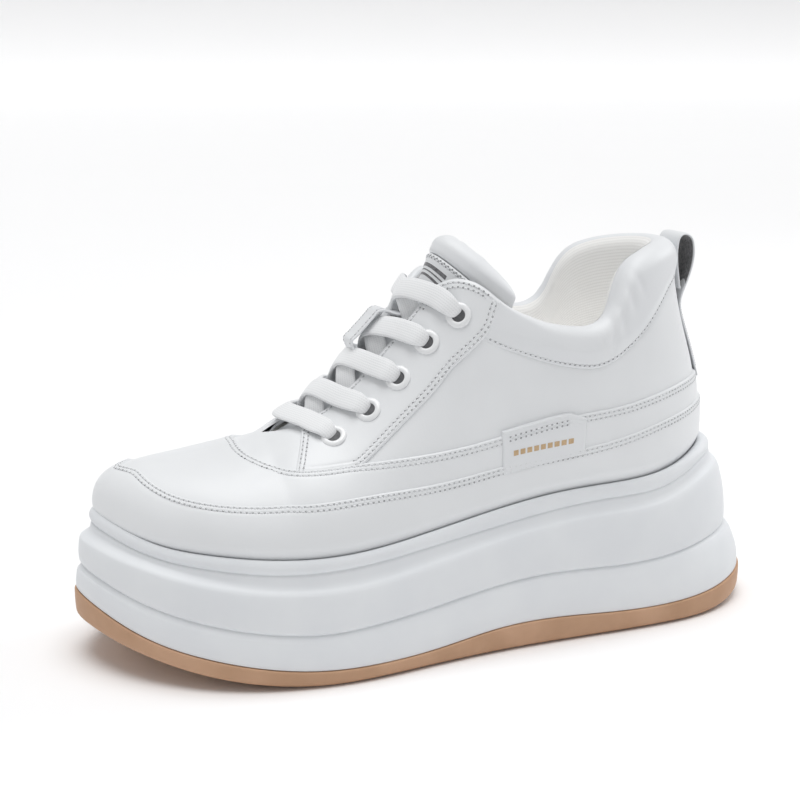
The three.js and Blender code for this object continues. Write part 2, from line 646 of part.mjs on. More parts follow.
// ---------------------------------------------------------------------------------------------------------
// Eyelets, laces and the heel pull loop
// ---------------------------------------------------------------------------------------------------------
function eyeletGeometry({ place, normal }) {
  const { flange, barrel, bore, lift, height, slope, mouth } = EYELET;
  const turned = [
    [bore, -WALL],
    [barrel, -WALL],
    [barrel, lift],
    [flange, lift],
    [flange - slope, lift + height],
    [bore + mouth, lift + height],
    [bore, -WALL],
  ].map(([radius, level]) => new THREE.Vector2(radius, level));
  const ring = new THREE.LatheGeometry(turned, EYELET_SIDES);
  return ring.rotateX(Math.PI / 2).applyQuaternion(turnTo(normal)).translate(place.x, place.y, place.z);
}

// A flat lace through stops, each a place, the normal there and the height of the lace's middle above it.
function laceGeometry(stops) {
  const points = stops.map(({ place, normal, off }) => place.clone().addScaledVector(normal, off));
  const line = new THREE.CatmullRomCurve3(points, false, "centripetal");
  const steps = 2 * (stops.length - 1) + 2;
  const path = line.getPoints(steps);
  const normals = path.map((_, i) => {
    const at = (i / steps) * (stops.length - 1);
    const k = Math.min(stops.length - 2, Math.floor(at));
    return stops[k].normal.clone().lerp(stops[k + 1].normal, at - k).normalize();
  });
  return bandSolid(path, normals, LACE.width, LACE.thickness);
}

function onTongue(r, w, off) {
  return { place: tonguePoint(r, w), normal: tongueNormal(r, w), off };
}

function onFacing(station, distance, off) {
  return { ...seatOn(station, distance), off };
}

// How far a lace lies clear of what is under it along its way: beside the facing, at the crossing of two
// strands, over the facing's edge, half way down the facing, over the eyelet, and in the middle of the
// straight bar.
const CLEAR = { start: 2.2, crossing: 4.2, edge: 1.9, facing: 2.3, bar: 6, barEdge: 1.6, barFacing: 2 };
CLEAR.eyelet = EYELET.lift + EYELET.height + 2 * GAP;
const FACING_STOP = { edge: 1, middle: 7, eyelet: EYELET.inset - 1 }; // distances down from the facing's edge
const STRAND_START = 0.21; // share of the tongue's half width where a strand comes up
const OVER_SHARE = 0.7; // how far the upper strand of a crossing lies above the lower, in thicknesses

// One strand, from beside the facing at one row, over the tongue and the other facing, to the next row's
// eyelet.
function strandGeometry(from, to, toSide, lift) {
  const half = LACE.thickness / 2;
  const between = (to.edge + to.eyelet) / 2;
  return laceGeometry([
    onTongue(from.start, -toSide * STRAND_START, half + CLEAR.start + lift / 2),
    onTongue(from.cross, 0, half + CLEAR.crossing + lift),
    onFacing(toSide * to.edge, FACING_STOP.edge, half + CLEAR.edge),
    onFacing(toSide * between, FACING_STOP.middle, half + CLEAR.facing),
    onFacing(toSide * to.eyelet, FACING_STOP.eyelet, half + CLEAR.eyelet),
  ]);
}

// Two strands that cross, joined where one lies on the other.
function crossingGeometry(from, to) {
  const under = solidOf(strandGeometry(from, to, -1, 0));
  const over = solidOf(strandGeometry(from, to, 1, LACE.thickness * OVER_SHARE));
  return geometryOf(under.add(over));
}

// The straight bar over the lowest pair of eyelets.
function barGeometry() {
  const [first] = LACING;
  const half = LACE.thickness / 2;
  const between = (first.edge + first.eyelet) / 2;
  const run = [1, -1].map((side) => [
    onFacing(side * first.eyelet, FACING_STOP.eyelet, half + CLEAR.eyelet),
    onFacing(side * between, FACING_STOP.middle, half + CLEAR.barFacing),
    onFacing(side * first.edge, FACING_STOP.edge, half + CLEAR.barEdge),
  ]);
  return laceGeometry([...run[0], onTongue(BAR_ROW, 0, half + CLEAR.bar), ...run[1].reverse()]);
}

// Distance out of the heel's back line and height, up the strap, round the loop and down its inner side.
const PULL_LOOP = [
  { off: 1.2, z: 91 },
  { off: 1.2, z: 104 },
  { off: 1.2, z: 115 },
  { off: 1.7, z: 121 },
  { off: 4.6, z: 127.5 },
  { off: 8, z: 135 },
  { off: 9.3, z: 141.5 },
  { off: 7.5, z: 147.2 },
  { off: 3.8, z: 147.6 },
  { off: 1.8, z: 142.8 },
  { off: 1.3, z: 134.5 },
  { off: 1.3, z: 126.5 },
];

function heelBack(z) {
  const step = 0.005;
  let v = 0;
  while (v < 1 && skinPoint(LAST, v).z < z) v += step;
  return skinPoint(LAST, v).x;
}

function pullLoopGeometry() {
  const line = new THREE.CatmullRomCurve3(
    PULL_LOOP.map(({ off, z }) => new THREE.Vector3(heelBack(z) - off, middle(0), z)),
    false,
    "centripetal",
  );
  const path = line.getPoints(2 * PULL_LOOP.length - 2);
  const sideways = new THREE.Vector3(0, 1, 0);
  const normals = path.map((p, i) => {
    const along = path[Math.min(path.length - 1, i + 1)].clone().sub(path[Math.max(0, i - 1)]);
    return sideways.clone().cross(along).normalize();
  });
  return bandSolid(path, normals, STRAP.width, STRAP.thickness);
}

// ---------------------------------------------------------------------------------------------------------
const group = new THREE.Group();
const COLOURS = {
  leather: { color: 0xf2f3f4, roughness: 0.45 },
  foam: { color: 0xf3f5f7, roughness: 0.5 },
  gum: { color: 0xb18e70, roughness: 0.6 },
  textile: { color: 0xf4f3ee, roughness: 0.9 },
  enamel: { color: 0xf5f6f7, roughness: 0.3 },
};
function add(name, geometry, look) {
  const material = new THREE.MeshStandardMaterial({ metalness: 0, ...COLOURS[look] });
  const mesh = new THREE.Mesh(geometry, material);
  mesh.name = name;
  group.add(mesh);
  return mesh;
}

add("outsole", outsoleGeometry(), "gum");
add("midsole", midsoleGeometry(), "foam");
add("insole", insoleGeometry(), "textile");
add("upper", upperGeometry(), "leather");
add("tongue", tongueGeometry(), "leather");
add("tongue_lace_loop", keeperGeometry(), "leather");
add("heel_pull_loop", pullLoopGeometry(), "leather");
for (const seat of eyeletSeats())
  add(`eyelet_${seat.side > 0 ? "outer" : "inner"}_${seat.row}`, eyeletGeometry(seat), "enamel");
add("lace_bar", barGeometry(), "textile");
LACING.slice(1).forEach((to, i) => add(`lace_crossing_${i + 1}`, crossingGeometry(LACING[i], to), "textile"));

export default group;
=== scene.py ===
# Platform sneaker, left shoe: the finished surfaces over the CAD frame. Sizes in this script are millimetres
# in the frame of the part (+X to the toe, +Y to the outer side, +Z up), and a mesh is scaled to metres as it
# is made. Only the camera's clipping, the stage and the lights are in metres.
import bpy
import bmesh
import numpy as np
from mathutils import Matrix, Vector
from mathutils.bvhtree import BVHTree
from mathutils.kdtree import KDTree


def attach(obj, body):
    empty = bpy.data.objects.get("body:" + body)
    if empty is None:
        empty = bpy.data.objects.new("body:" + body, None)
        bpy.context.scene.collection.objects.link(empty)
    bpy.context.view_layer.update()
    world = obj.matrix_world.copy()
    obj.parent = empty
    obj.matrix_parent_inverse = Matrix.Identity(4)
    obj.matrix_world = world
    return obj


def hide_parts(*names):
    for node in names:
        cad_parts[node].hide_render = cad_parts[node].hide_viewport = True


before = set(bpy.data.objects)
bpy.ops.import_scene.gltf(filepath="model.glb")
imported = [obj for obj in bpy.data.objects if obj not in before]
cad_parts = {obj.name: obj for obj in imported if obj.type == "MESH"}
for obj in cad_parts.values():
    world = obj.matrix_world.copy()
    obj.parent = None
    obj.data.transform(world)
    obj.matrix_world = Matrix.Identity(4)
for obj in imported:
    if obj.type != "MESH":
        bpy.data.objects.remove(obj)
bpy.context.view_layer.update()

MM = 0.001

# ----------------------------------------------------------------------------------------------------------
# Driving sizes: the last, the sole and the topline
# ----------------------------------------------------------------------------------------------------------
GAP = 0.3  # between pieces that touch
CUP_GAP = 0.45  # between the upper and the cup of the midsole round its foot
CUP_DEPTH = 8
RIM_LIP = 0.6  # drop from the rim to the cup's inner edge
WALL = 2.4
INSOLE_THICKNESS = 4
INSOLE_ROUND = 1.4  # radius of its upper edge
TONGUE_THICKNESS = 4.5
TONGUE_ROLL = 10  # thickness of its padded top
TONGUE_BOW = 1.8  # how late the tongue bends down towards its sides
LACE_WIDTH = 8.3
LACE_THICKNESS = 1.7
LACE_ARCH = 0.2  # how far the lace's edges bend down
STITCH = {"pitch": 2.05, "length": 1.3, "half": (0.3, 0.24), "lift": 0.13, "dip": 0.3}  # half: width, height
# Sizes of the dark cone in each needle hole; the cone is painted shade.
NEEDLE_HOLE_SHADE = {"radius": 0.36, "rise": 0.08}

# Outline of the sole at its widest, a row for each section from the toe tip to the back of the heel.
OUTLINE = [  # x, outer y, inner y
    (136, -12, -12),
    (131, 6, -27.5),
    (119, 24, -41.5),
    (98, 41, -50.5),
    (72, 50, -51.2),
    (45, 51.5, -47),
    (18, 47.5, -41.5),
    (-12, 43.5, -37.5),
    (-45, 42, -37.5),
    (-80, 41, -38),
    (-106, 36, -35),
    (-124, 25, -26),
    (-133.5, 11.5, -13.5),
    (-136, -1.5, -1.5),
]
LAST = len(OUTLINE) - 1

# Heights of the sole's lines along its length.
LEVELS = {
    "x": (-136, -110, -85, -60, -35, -10, 15, 40, 60, 80, 100, 120, 136),
    "bottom": (3.7, 0.3, 0, 0, 0, 0, 0, 0, 0, 1.5, 4.6, 9.5, 14.7),
    "gum": (13.5, 10, 8.2, 8.4, 9.7, 9.2, 6.4, 5.5, 5.9, 8, 11.6, 17.2, 25.5),
    "crease": (31, 29, 26.6, 26, 26.6, 24.9, 21.5, 19.3, 18.4, 20, 23.2, 28.3, 34.8),
    "shoulder": (56.5, 54, 48.6, 47, 45.5, 42, 38.1, 35, 34.3, 35.3, 38, 42, 46),
    "bead": (61, 59, 53.6, 52.5, 50.5, 47, 43.8, 41.4, 40.5, 40.9, 42.6, 45.2, 50.5),
    "rim": (65.5, 63.4, 59.4, 57.9, 56.4, 52.8, 48.8, 46, 45.2, 45.8, 47.2, 49.6, 55.5),
}

# Side wall of the sole from the floor up: the two levels it lies between, the share of the way, a rise in
# millimetres, and how far it stands in from the outline at the toe, the sides and the heel.
GUM_WALL = [
    ("bottom", "gum", 0, 0, (-4, -3.5, -4)),
    ("bottom", "gum", 0, 0.35, (-2.4, -2, -2.4)),
    ("bottom", "gum", 0, 1, (-1.2, -1, -1.2)),
    ("bottom", "gum", 0, 2.2, (-0.4, -0.3, -0.4)),
    ("bottom", "gum", 0.5, 0.6, (-0.1, 0, -0.1)),
    ("bottom", "gum", 1, -0.7, (-0.1, -0.05, -0.1)),
    ("bottom", "gum", 1, -0.15, (-0.35, -0.35, -0.4)),
    ("bottom", "gum", 1, 0, (-1, -1, -1)),
]
MIDSOLE_WALL = [
    ("gum", "crease", 0, 0.25, (-1.4, -1.4, -1.5)),
    ("gum", "crease", 0, 0.4, (-0.8, -0.8, -0.9)),
    ("gum", "crease", 0.1, 0.5, (-0.65, -0.75, -0.9)),
    ("gum", "crease", 0.4, 0, (-0.8, -1.1, -1.6)),
    ("gum", "crease", 0.75, 0, (-1.4, -2, -3.9)),
    ("gum", "crease", 1, -1.6, (-2.1, -2.65, -5.9)),
    ("gum", "crease", 1, -0.5, (-2.8, -3.35, -7.2)),
    ("gum", "crease", 1, 0, (-3.2, -3.8, -7.8)),
    ("gum", "crease", 1, 0.4, (-2.9, -3.5, -7.6)),
    ("gum", "crease", 1, 1.3, (-2.3, -2.8, -7)),
    ("crease", "shoulder", 0.25, 0.6, (-2.1, -2.5, -7.1)),
    ("crease", "shoulder", 0.55, 0, (-2.2, -2.55, -7.9)),
    ("crease", "shoulder", 0.85, 0, (-2.7, -2.95, -9.7)),
    ("crease", "shoulder", 1, -0.6, (-3.5, -3.6, -11.2)),
    ("shoulder", "bead", 0.12, 0, (-5.2, -4.8, -12.8)),
    ("shoulder", "bead", 0.4, 0, (-6.5, -5.7, -13.8)),
    ("shoulder", "bead", 0.8, 0, (-7, -6.1, -14.3)),
    ("shoulder", "bead", 1, -0.35, (-7.4, -6.5, -14.8)),
    ("shoulder", "bead", 1, 0, (-7.4, -6.5, -14.8)),
    ("bead", "rim", 0.1, 0, (-6.95, -6, -14.6)),
    ("bead", "rim", 0.35, 0, (-6.55, -5.6, -14.4)),
    ("bead", "rim", 0.6, 0, (-6.6, -5.65, -14.6)),
    ("bead", "rim", 0.85, 0, (-7.2, -6.2, -15.5)),
    ("bead", "rim", 1, 0, (-8.1, -7.1, -16.8)),
    ("bead", "rim", 1, -0.25, (-9.1, -8.1, -18.3)),
]
UPPER_INSET = (-9.6, -8.8, -20.4)
BLEND_LENGTH = 76

# Top edge of the upper: station, x, half width, z and the wall's thickness at the edge.
TOPLINE = [
    (0, 100, 0, 73, 2.4),
    (1, 98, 0, 73.2, 2.4),
    (2, 94, 0, 73.7, 2.4),
    (3, 86, 0, 75.2, 2.4),
    (3.6, 76.5, 0, 77.8, 2.4),
    (4.1, 67, 0, 81, 2.4),
    (4.3, 62.5, 4.6, 82.6, 2.4),
    (4.6, 55.5, 8.2, 85.2, 2.4),
    (5, 46, 9.5, 90, 2.4),
    (5.5, 32, 10.2, 102.4, 2.4),
    (6, 18, 10.8, 117.5, 2.4),
    (6.3, 9.5, 11.3, 127.8, 2.4),
    (6.48, 4.6, 12.4, 133.6, 2.4),
    (6.6, 0.8, 15.6, 136.2, 2.4),
    (6.75, -3.4, 19.6, 137, 2.4),
    (6.9, -7.8, 24, 135.6, 2.4),
    (7.05, -12.2, 27.4, 131.8, 2.4),
    (7.2, -17, 29.6, 127.3, 3),
    (7.4, -24, 31.4, 122.2, 5),
    (7.7, -34, 32.8, 117, 7.5),
    (8, -45, 33.5, 114.6, 8.5),
    (8.3, -53, 33.4, 114.8, 9),
    (8.5, -58.2, 33, 117.6, 9.5),
    (8.65, -61.9, 32.3, 122.6, 10),
    (8.8, -65.6, 31.1, 129.6, 10.5),
    (9, -70.5, 29.4, 135.4, 11),
    (9.3, -77.2, 27, 138.6, 11),
    (9.8, -85.2, 22.6, 140.5, 11),
    (10.5, -92, 17.2, 141.5, 11),
    (11.3, -96.4, 11, 142, 11),
    (12.2, -98.7, 4.8, 142.2, 11),
    (13, -99.3, 0, 142.2, 11),
]
THROAT_BASE = 4.1
CREST_ZONE = (6.9, 7.5)  # stations over which the collar's crest comes to rise above the topline
CREST_POWER = 6  # how close to the topline that rise starts
FACING_TOP = 7.08  # station where the facing ends and the padded collar begins

# Cubic ribs: station, first handle's rise and stand-out from the rim, second handle's drop and stand-out.
RIBS = [
    (0, 14, 1.2, 0.5, 16),
    (1, 14.5, 1.5, 0.8, 17),
    (2, 15.5, 2.2, 1, 20),
    (3, 17, 3.2, 1.3, 22),
    (4, 19.5, 3.6, 3, 23),
    (4.6, 21, 3.7, 6, 20),
    (5, 22, 3.6, 8.5, 17.5),
    (5.5, 25, 2.6, 10.6, 15),
    (6, 27.8, 2.3, 10.5, 15),
    (6.5, 29.5, 2, 11, 14.5),
    (6.75, 29, 2.2, 13.5, 9.5),
    (7.05, 27, 2.5, 15, 4),
    (7.4, 23, 3, 15, 2.6),
    (8, 18, 3.4, 18, 1.5),
    (8.5, 20, 4, 20, 1.8),
    (9, 25, 4.2, 28, 2),
    (9.8, 33, 3, 32, 2),
    (11, 35, 2, 32, 2),
    (13, 35, 1.5, 33, 2),
]
PAD_ZONE = (0.5, 0.86)

# Heights of the seams by station: top edge of the mudguard, top edge of the side strip, and the collar seam.
MUDGUARD_EDGE = [  # station, z
    (0, 70.4), (1.1, 70.2), (2.1, 66.9), (2.5, 65.3), (3.15, 63.7), (3.7, 63.2), (4.25, 63.4),
    (4.8, 64.1), (5.35, 65.1), (5.95, 65.8), (6.5, 67), (7, 69.2), (7.5, 71.5), (8, 73.2), (8.5, 75.8),
    (9.1, 79.4), (10, 82), (10.6, 82.8), (13, 83.6),
]
STRIP_START = 3.62  # station where the strip's top edge crosses the ridge
STRIP_EDGE = [
    (3.62, 77.9), (3.7, 76.9), (3.8, 75.9), (3.95, 74.8), (4.15, 73.6), (4.4, 73.3), (4.65, 73.6),
    (4.9, 74.2), (5.4, 75.4), (6, 76.6), (6.5, 77.8), (7, 80.2), (7.5, 83.6), (8, 86.1), (8.5, 87.6),
    (9.15, 90.4), (9.6, 91.9), (10.6, 93), (13, 93.6),
]
COLLAR_SEAM = [
    (6.85, 116.4), (7.08, 113.2), (7.55, 107.4), (8, 103.6), (8.3, 103.4), (8.55, 105.6), (8.85, 110.4),
    (9.25, 118), (9.5, 122.4), (9.9, 127.4), (10.6, 131.6), (11.6, 133.6), (13, 134),
]
FACING_EDGE = [  # rear edge of the facing: station, share of a rib
    (5.14, 0.49), (5.3, 0.5), (5.55, 0.52), (5.8, 0.535), (6.08, 0.545), (6.35, 0.56), (6.62, 0.6),
    (6.88, 0.69), (7.0, 0.78), (7.09, 0.92), (7.13, 0.985),
]
FACING_FRONT = (4.3, 4.66)  # station of the facing's front edge at the strip and at the throat

TONGUE = [  # middle x, z, half width, edge x, z
    (80, 73.4, 13, 80, 69.4),
    (66, 78, 17, 66, 70.8),
    (52, 85.5, 19.5, 52, 73),
    (38, 96.8, 21.5, 38, 79.5),
    (24, 110.2, 21, 24, 89.5),
    (12, 123, 22, 10, 101.5),
    (4, 135, 23.5, -7.5, 112.5),
    (1, 142.4, 25.6, -17.5, 121.5),
    (-1.6, 148.2, 26.5, -21, 129.5),
]
EYELET_INSET = 14.3
LACING = [  # row, eyelet station, edge station, tongue row where the next strands start, and where they cross
    (1, 4.95, 4.7, 2.25, 2.6),
    (2, 5.42, 5.2, 3.1, 3.45),
    (3, 5.83, 5.62, 4, 4.24),
    (4, 6.22, 6.02, 5.1, 5.4),
    (5, 6.62, 6.4, 5.6, 6),
]
BAR_ROW = 1.75
KEEPER = {"width": 9.6, "thickness": 1.3, "from": 3.55, "to": 4.92, "rise": 9.9}
PULL_LOOP = [  # distance out of the heel's back line, height, and how far the edges wrap round the heel
    (0.5, 91, 1),
    (0.5, 104, 1),
    (0.55, 115, 1),
    (1.1, 121, 0.8),
    (4.2, 127.5, 0.3),
    (7.8, 135, 0),
    (9.2, 141.5, 0),
    (7.5, 147.2, 0),
    (3.8, 147.6, 0),
    (1.7, 142.8, 0),
    (1.2, 134.5, 0),
    (1.2, 126.5, 0),
]
STRAP_WIDTH = 15
STRAP_THICKNESS = 1.2


# ----------------------------------------------------------------------------------------------------------
# Curves and surfaces
# ----------------------------------------------------------------------------------------------------------
def spline(keys, values):
    """Natural cubic spline through rising keys; values may be numbers or points."""
    x, y = np.asarray(keys, float), np.asarray(values, float)
    n, h = len(x), np.diff(x)
    system, turn = np.eye(n), np.zeros_like(y)
    for i in range(1, n - 1):
        system[i, i - 1 : i + 2] = h[i - 1], 2 * (h[i - 1] + h[i]), h[i]
        turn[i] = 6 * ((y[i + 1] - y[i]) / h[i] - (y[i] - y[i - 1]) / h[i - 1])
    second = np.linalg.solve(system, turn)

    def at(key):
        k = np.clip(np.asarray(key, float), x[0], x[-1])
        i = np.clip(np.searchsorted(x, k, side="left") - 1, 0, n - 2)
        a, step = (x[i + 1] - k) / h[i], h[i]
        if y.ndim > 1:
            a, step = a[..., None], step[..., None]
        b = 1 - a
        bend = ((a**3 - a) * second[i] + (b**3 - b) * second[i + 1]) * step**2 / 6
        return a * y[i] + b * y[i + 1] + bend

    return at


def column(rows, k):
    return spline([row[0] for row in rows], [row[k] for row in rows])


def smooth(t, low, high):
    t = np.clip((t - low) / (high - low), 0, 1)
    return t * t * (3 - 2 * t)


def unit(v):
    return v / np.maximum(np.linalg.norm(v, axis=-1, keepdims=True), 1e-9)


level = {name: spline(LEVELS["x"], LEVELS[name]) for name in LEVELS if name != "x"}
top_x, top_half, top_z, top_pad = (column(TOPLINE, k) for k in (1, 2, 3, 4))
rib_rise, rib_out, rib_drop, rib_over = (column(RIBS, k) for k in (1, 2, 3, 4))
mudguard_z, strip_z, collar_z = (column(table, 1) for table in (MUDGUARD_EDGE, STRIP_EDGE, COLLAR_SEAM))
tongue_rows = spline(range(len(TONGUE)), TONGUE)
around = list(range(-LAST - 3, LAST + 4))
wrapped = [((i + 3 * LAST) % (2 * LAST)) - LAST for i in around]
outline_x = spline(around, [OUTLINE[abs(w)][0] for w in wrapped])
outline_y = spline(around, [OUTLINE[abs(w)][1 if w >= 0 else 2] for w in wrapped])


def place_of(u):
    """A place round the shoe by one name only: 0 at the toe tip, up to LAST at the back of the heel."""
    return np.where(u <= -LAST, u + 2 * LAST, np.where(u > LAST, u - 2 * LAST, u))


def outward(u):
    p, h = place_of(u), 0.01
    dx, dy = outline_x(p + h) - outline_x(p - h), outline_y(p + h) - outline_y(p - h)
    return unit(np.stack([dy, -dx, 0 * dx], -1))


def inset_at(x, inset):
    toe, side, heel = inset
    tip, back = OUTLINE[0][0], OUTLINE[-1][0]
    at_toe = smooth(x, tip - BLEND_LENGTH, tip)
    at_heel = smooth(-x, -back - BLEND_LENGTH, -back)
    return side + (toe - side) * at_toe + (heel - side) * at_heel


def sole_edge(u, inset, height):
    p = place_of(np.asarray(u, float))
    x = outline_x(p)
    return np.stack([x, outline_y(p), height(x)], -1) + outward(u) * inset_at(x, inset)[..., None]


SWING = {"offset": 1, "reach": 13, "from": 20, "over": 116, "power": 1.6}


def middle(x):
    """Middle line of the last, which swings to the inner side at the toe."""
    run = np.maximum(0, x - SWING["from"]) / SWING["over"]
    return SWING["offset"] - SWING["reach"] * run ** SWING["power"]


def skin(u, v):
    """Outer skin of the upper: place u round the shoe, share v up the rib."""
    u, v = np.broadcast_arrays(np.asarray(u, float), np.asarray(v, float))
    s, side = np.abs(u), np.where(u < 0, -1, 1)
    out = outward(u)
    foot = sole_edge(u, UPPER_INSET, level["rim"])
    tx = top_x(s)
    half = np.where(s < THROAT_BASE, 0, np.maximum(0, top_half(s)))
    top = np.stack([tx, middle(tx) + side * half, top_z(s)], -1)
    low = foot + out * rib_out(s)[..., None]
    low[..., 2] += rib_rise(s)
    high = top + out * rib_over(s)[..., None]
    high[..., 2] -= rib_drop(s)
    v = v[..., None]
    w = 1 - v
    at = w**3 * foot + 3 * w * w * v * low + 3 * w * v * v * high + v**3 * top
    # The padded collar's rounded crest rises above the topline.
    at[..., 2] += top_pad(s) / 2 * smooth(s, *CREST_ZONE) * v[..., 0] ** CREST_POWER
    return at


def skin_normal(u, v):
    u, v = np.broadcast_arrays(np.asarray(u, float), np.asarray(v, float))
    h = 0.02

    def at(p):
        across = skin(place_of(p + h), v) - skin(place_of(p - h), v)
        up = skin(place_of(p), np.minimum(1, v + h)) - skin(place_of(p), np.maximum(0, v - h))
        return unit(np.cross(across, up))

    n = at(u)
    ridge = (v > 1 - h) & (np.abs(u) <= THROAT_BASE)
    return np.where(ridge[..., None], unit(n + at(-u)), n)


def wall_thickness(s, v):
    return WALL + (top_pad(s) - WALL) * smooth(v, *PAD_ZONE)


def share_at_height(u, height):
    """The share up each rib where the skin reaches a height."""
    low, high = np.zeros_like(u, float), np.ones_like(u, float)
    for _ in range(22):
        half = (low + high) / 2
        below = skin(u, half)[..., 2] < height
        low, high = np.where(below, half, low), np.where(below, high, half)
    return (low + high) / 2


def tongue_point(r, w):
    r, w = np.broadcast_arrays(np.asarray(r, float), np.asarray(w, float))
    mid_x, mid_z, half, edge_x, edge_z = np.moveaxis(tongue_rows(r), -1, 0)
    bow = np.abs(w) ** TONGUE_BOW
    x, z = mid_x + (edge_x - mid_x) * bow, mid_z + (edge_z - mid_z) * bow
    return np.stack([x, middle(mid_x) + half * w, z], -1)


def tongue_normal(r, w):
    r, w = np.broadcast_arrays(np.asarray(r, float), np.asarray(w, float))
    h, end = 0.05, len(TONGUE) - 1
    up = tongue_point(np.minimum(end, r + h), w) - tongue_point(np.maximum(0, r - h), w)
    over = tongue_point(r, np.minimum(1, w + h)) - tongue_point(r, np.maximum(-1, w - h))
    return unit(np.cross(over, up))


def rounded(points, sharp, steps):
    """Rows of points joined by a smooth spline along axis 0, broken at the sharp rows."""
    runs, start = [], 0
    for stop in [*sorted(sharp), len(points) - 1]:
        part = points[start : stop + 1]
        t = np.linspace(0, len(part) - 1, (len(part) - 1) * steps + 1)
        i = np.clip(t.astype(int), 0, len(part) - 2)
        f = (t - i).reshape(-1, *([1] * (part.ndim - 1)))
        a, b = part[i], part[i + 1]
        before, after = part[np.maximum(i - 1, 0)], part[np.minimum(i + 2, len(part) - 1)]
        bend = 2 * before - 5 * a + 4 * b - after + f * (3 * (a - b) + after - before)
        run = a + 0.5 * f * (b - before + f * bend)
        runs.append(run if not runs else run[1:])
        start = stop
    return np.concatenate(runs)


# ----------------------------------------------------------------------------------------------------------
# Meshes
# ----------------------------------------------------------------------------------------------------------
class Net:
    """Grids of points gathered into one mesh, each with its own texture coordinates in millimetres."""

    def __init__(self):
        self.points, self.quads, self.uvs, self.count = [], [], [], 0

    def grid(self, points, uv=None, flip=False, keep=None):
        n, m = points.shape[:2]
        index = np.arange(n * m).reshape(n, m) + self.count
        quads = np.stack([index[:-1, :-1], index[1:, :-1], index[1:, 1:], index[:-1, 1:]], -1).reshape(-1, 4)
        if keep is not None:
            quads = quads[keep.reshape(-1)]
        if flip:
            quads = quads[:, ::-1]
        if uv is None:
            uv = np.zeros((n, m, 2))
        self.points.append(points.reshape(-1, 3))
        self.quads.append(quads)
        self.uvs.append(uv.reshape(-1, 2))
        self.count += n * m
        return self

    def object(self, name, material, weld=2e-6):
        mesh = bpy.data.meshes.new(name)
        points = np.concatenate(self.points) * MM
        quads = np.concatenate(self.quads)
        mesh.vertices.add(len(points))
        mesh.vertices.foreach_set("co", points.ravel())
        mesh.loops.add(quads.size)
        mesh.loops.foreach_set("vertex_index", quads.ravel())
        mesh.polygons.add(len(quads))
        mesh.polygons.foreach_set("loop_start", np.arange(0, quads.size, 4))
        mesh.update(calc_edges=True)
        layer = mesh.uv_layers.new(name="UVMap")
        layer.data.foreach_set("uv", np.concatenate(self.uvs)[quads.ravel()].ravel())
        work = bmesh.new()
        work.from_mesh(mesh)
        bmesh.ops.remove_doubles(work, verts=work.verts, dist=weld)
        bmesh.ops.dissolve_degenerate(work, edges=work.edges, dist=weld)
        work.to_mesh(mesh)
        work.free()
        mesh.shade_smooth()
        piece = bpy.data.objects.new(name, mesh)
        bpy.context.scene.collection.objects.link(piece)
        piece.data.materials.append(material)
        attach(piece, "root")
        return piece


def grid_lengths(points, axis):
    step = np.linalg.norm(np.diff(points, axis=axis), axis=-1)
    pad = [(1, 0) if k == axis else (0, 0) for k in range(2)]
    return np.cumsum(np.pad(step, pad), axis=axis)


def unrolled(points):
    """Texture coordinates of a grid in millimetres along its rows and columns."""
    return np.stack([grid_lengths(points, 1), grid_lengths(points, 0)], -1)


def laid(u, v, height):
    """Points of the skin raised by a height, or sunk by a negative one."""
    return skin(u, v) + skin_normal(u, v) * np.asarray(height, float)[..., None]


STATION_LENGTH, RIB_LENGTH = 10, 70  # rough lengths on the skin of one station and of one rib


def curve(stops):
    """A curve over the skin through (station, share) stops, asked by a share of its own length."""
    stops = np.asarray(stops, float)
    step = np.hypot(np.diff(stops[:, 0]) * STATION_LENGTH, np.diff(stops[:, 1]) * RIB_LENGTH)
    return spline(np.concatenate([[0], np.cumsum(step)]) / step.sum(), stops)


def spread(length, step, near_start, near_end):
    """Shares from 0 to 1 a step apart, with closer ones at set distances from either end."""
    start, end = [0, *near_start], [0, *near_end]
    shrink = min(1, 0.9 * length / max(start[-1] + end[-1], 1e-6))
    low, high = shrink * start[-1] / length, 1 - shrink * end[-1] / length
    inner = np.linspace(low, high, max(2, int((high - low) * length / step) + 1))
    first, last = np.array(start[:-1]) * shrink / length, 1 - np.array(end[-2::-1]) * shrink / length
    return np.concatenate([first, inner, last])


def between(low_u, low_v, high_u, high_v, count, near_low, near_high):
    """Rows of places from a low line to a high one, with close rows at set distances from either line."""
    share = np.linspace(0, 1, 9)[:, None]
    ends = laid(low_u + (high_u - low_u) * share, low_v + (high_v - low_v) * share, 0 * share * low_u)
    length = np.linalg.norm(np.diff(ends, axis=0), axis=-1).sum(0)
    low, high = np.array([0, *near_low], float), np.array([0, *near_high], float)
    shrink = np.minimum(1, 0.9 * length / max(low[-1] + high[-1], 1e-6))
    a, b = shrink * low[-1] / length, 1 - shrink * high[-1] / length
    inner = a + (b - a) * np.linspace(0, 1, count)[:, None]
    first, last = low[:-1, None] * shrink / length, 1 - high[-2::-1][:, None] * shrink / length
    q = np.concatenate([first, inner, last])
    return low_u + (high_u - low_u) * q, low_v + (high_v - low_v) * q


def line_tree(lines, step=0.1):
    """A search tree of points close together along lines."""
    dense = []
    for line in lines:
        reach = np.concatenate([[0], np.cumsum(np.linalg.norm(np.diff(line, axis=0), axis=1))])
        at = np.linspace(0, reach[-1], int(reach[-1] / step) + 2)
        dense.append(np.stack([np.interp(at, reach, line[:, k]) for k in range(3)], -1))
    dense = np.concatenate(dense)
    tree = KDTree(len(dense))
    for i, p in enumerate(dense):
        tree.insert(p, i)
    tree.balance()
    return tree


def distance_to(points, lines):
    tree = line_tree(lines)
    return np.array([tree.find(p)[2] for p in points.reshape(-1, 3)]).reshape(points.shape[:-1])


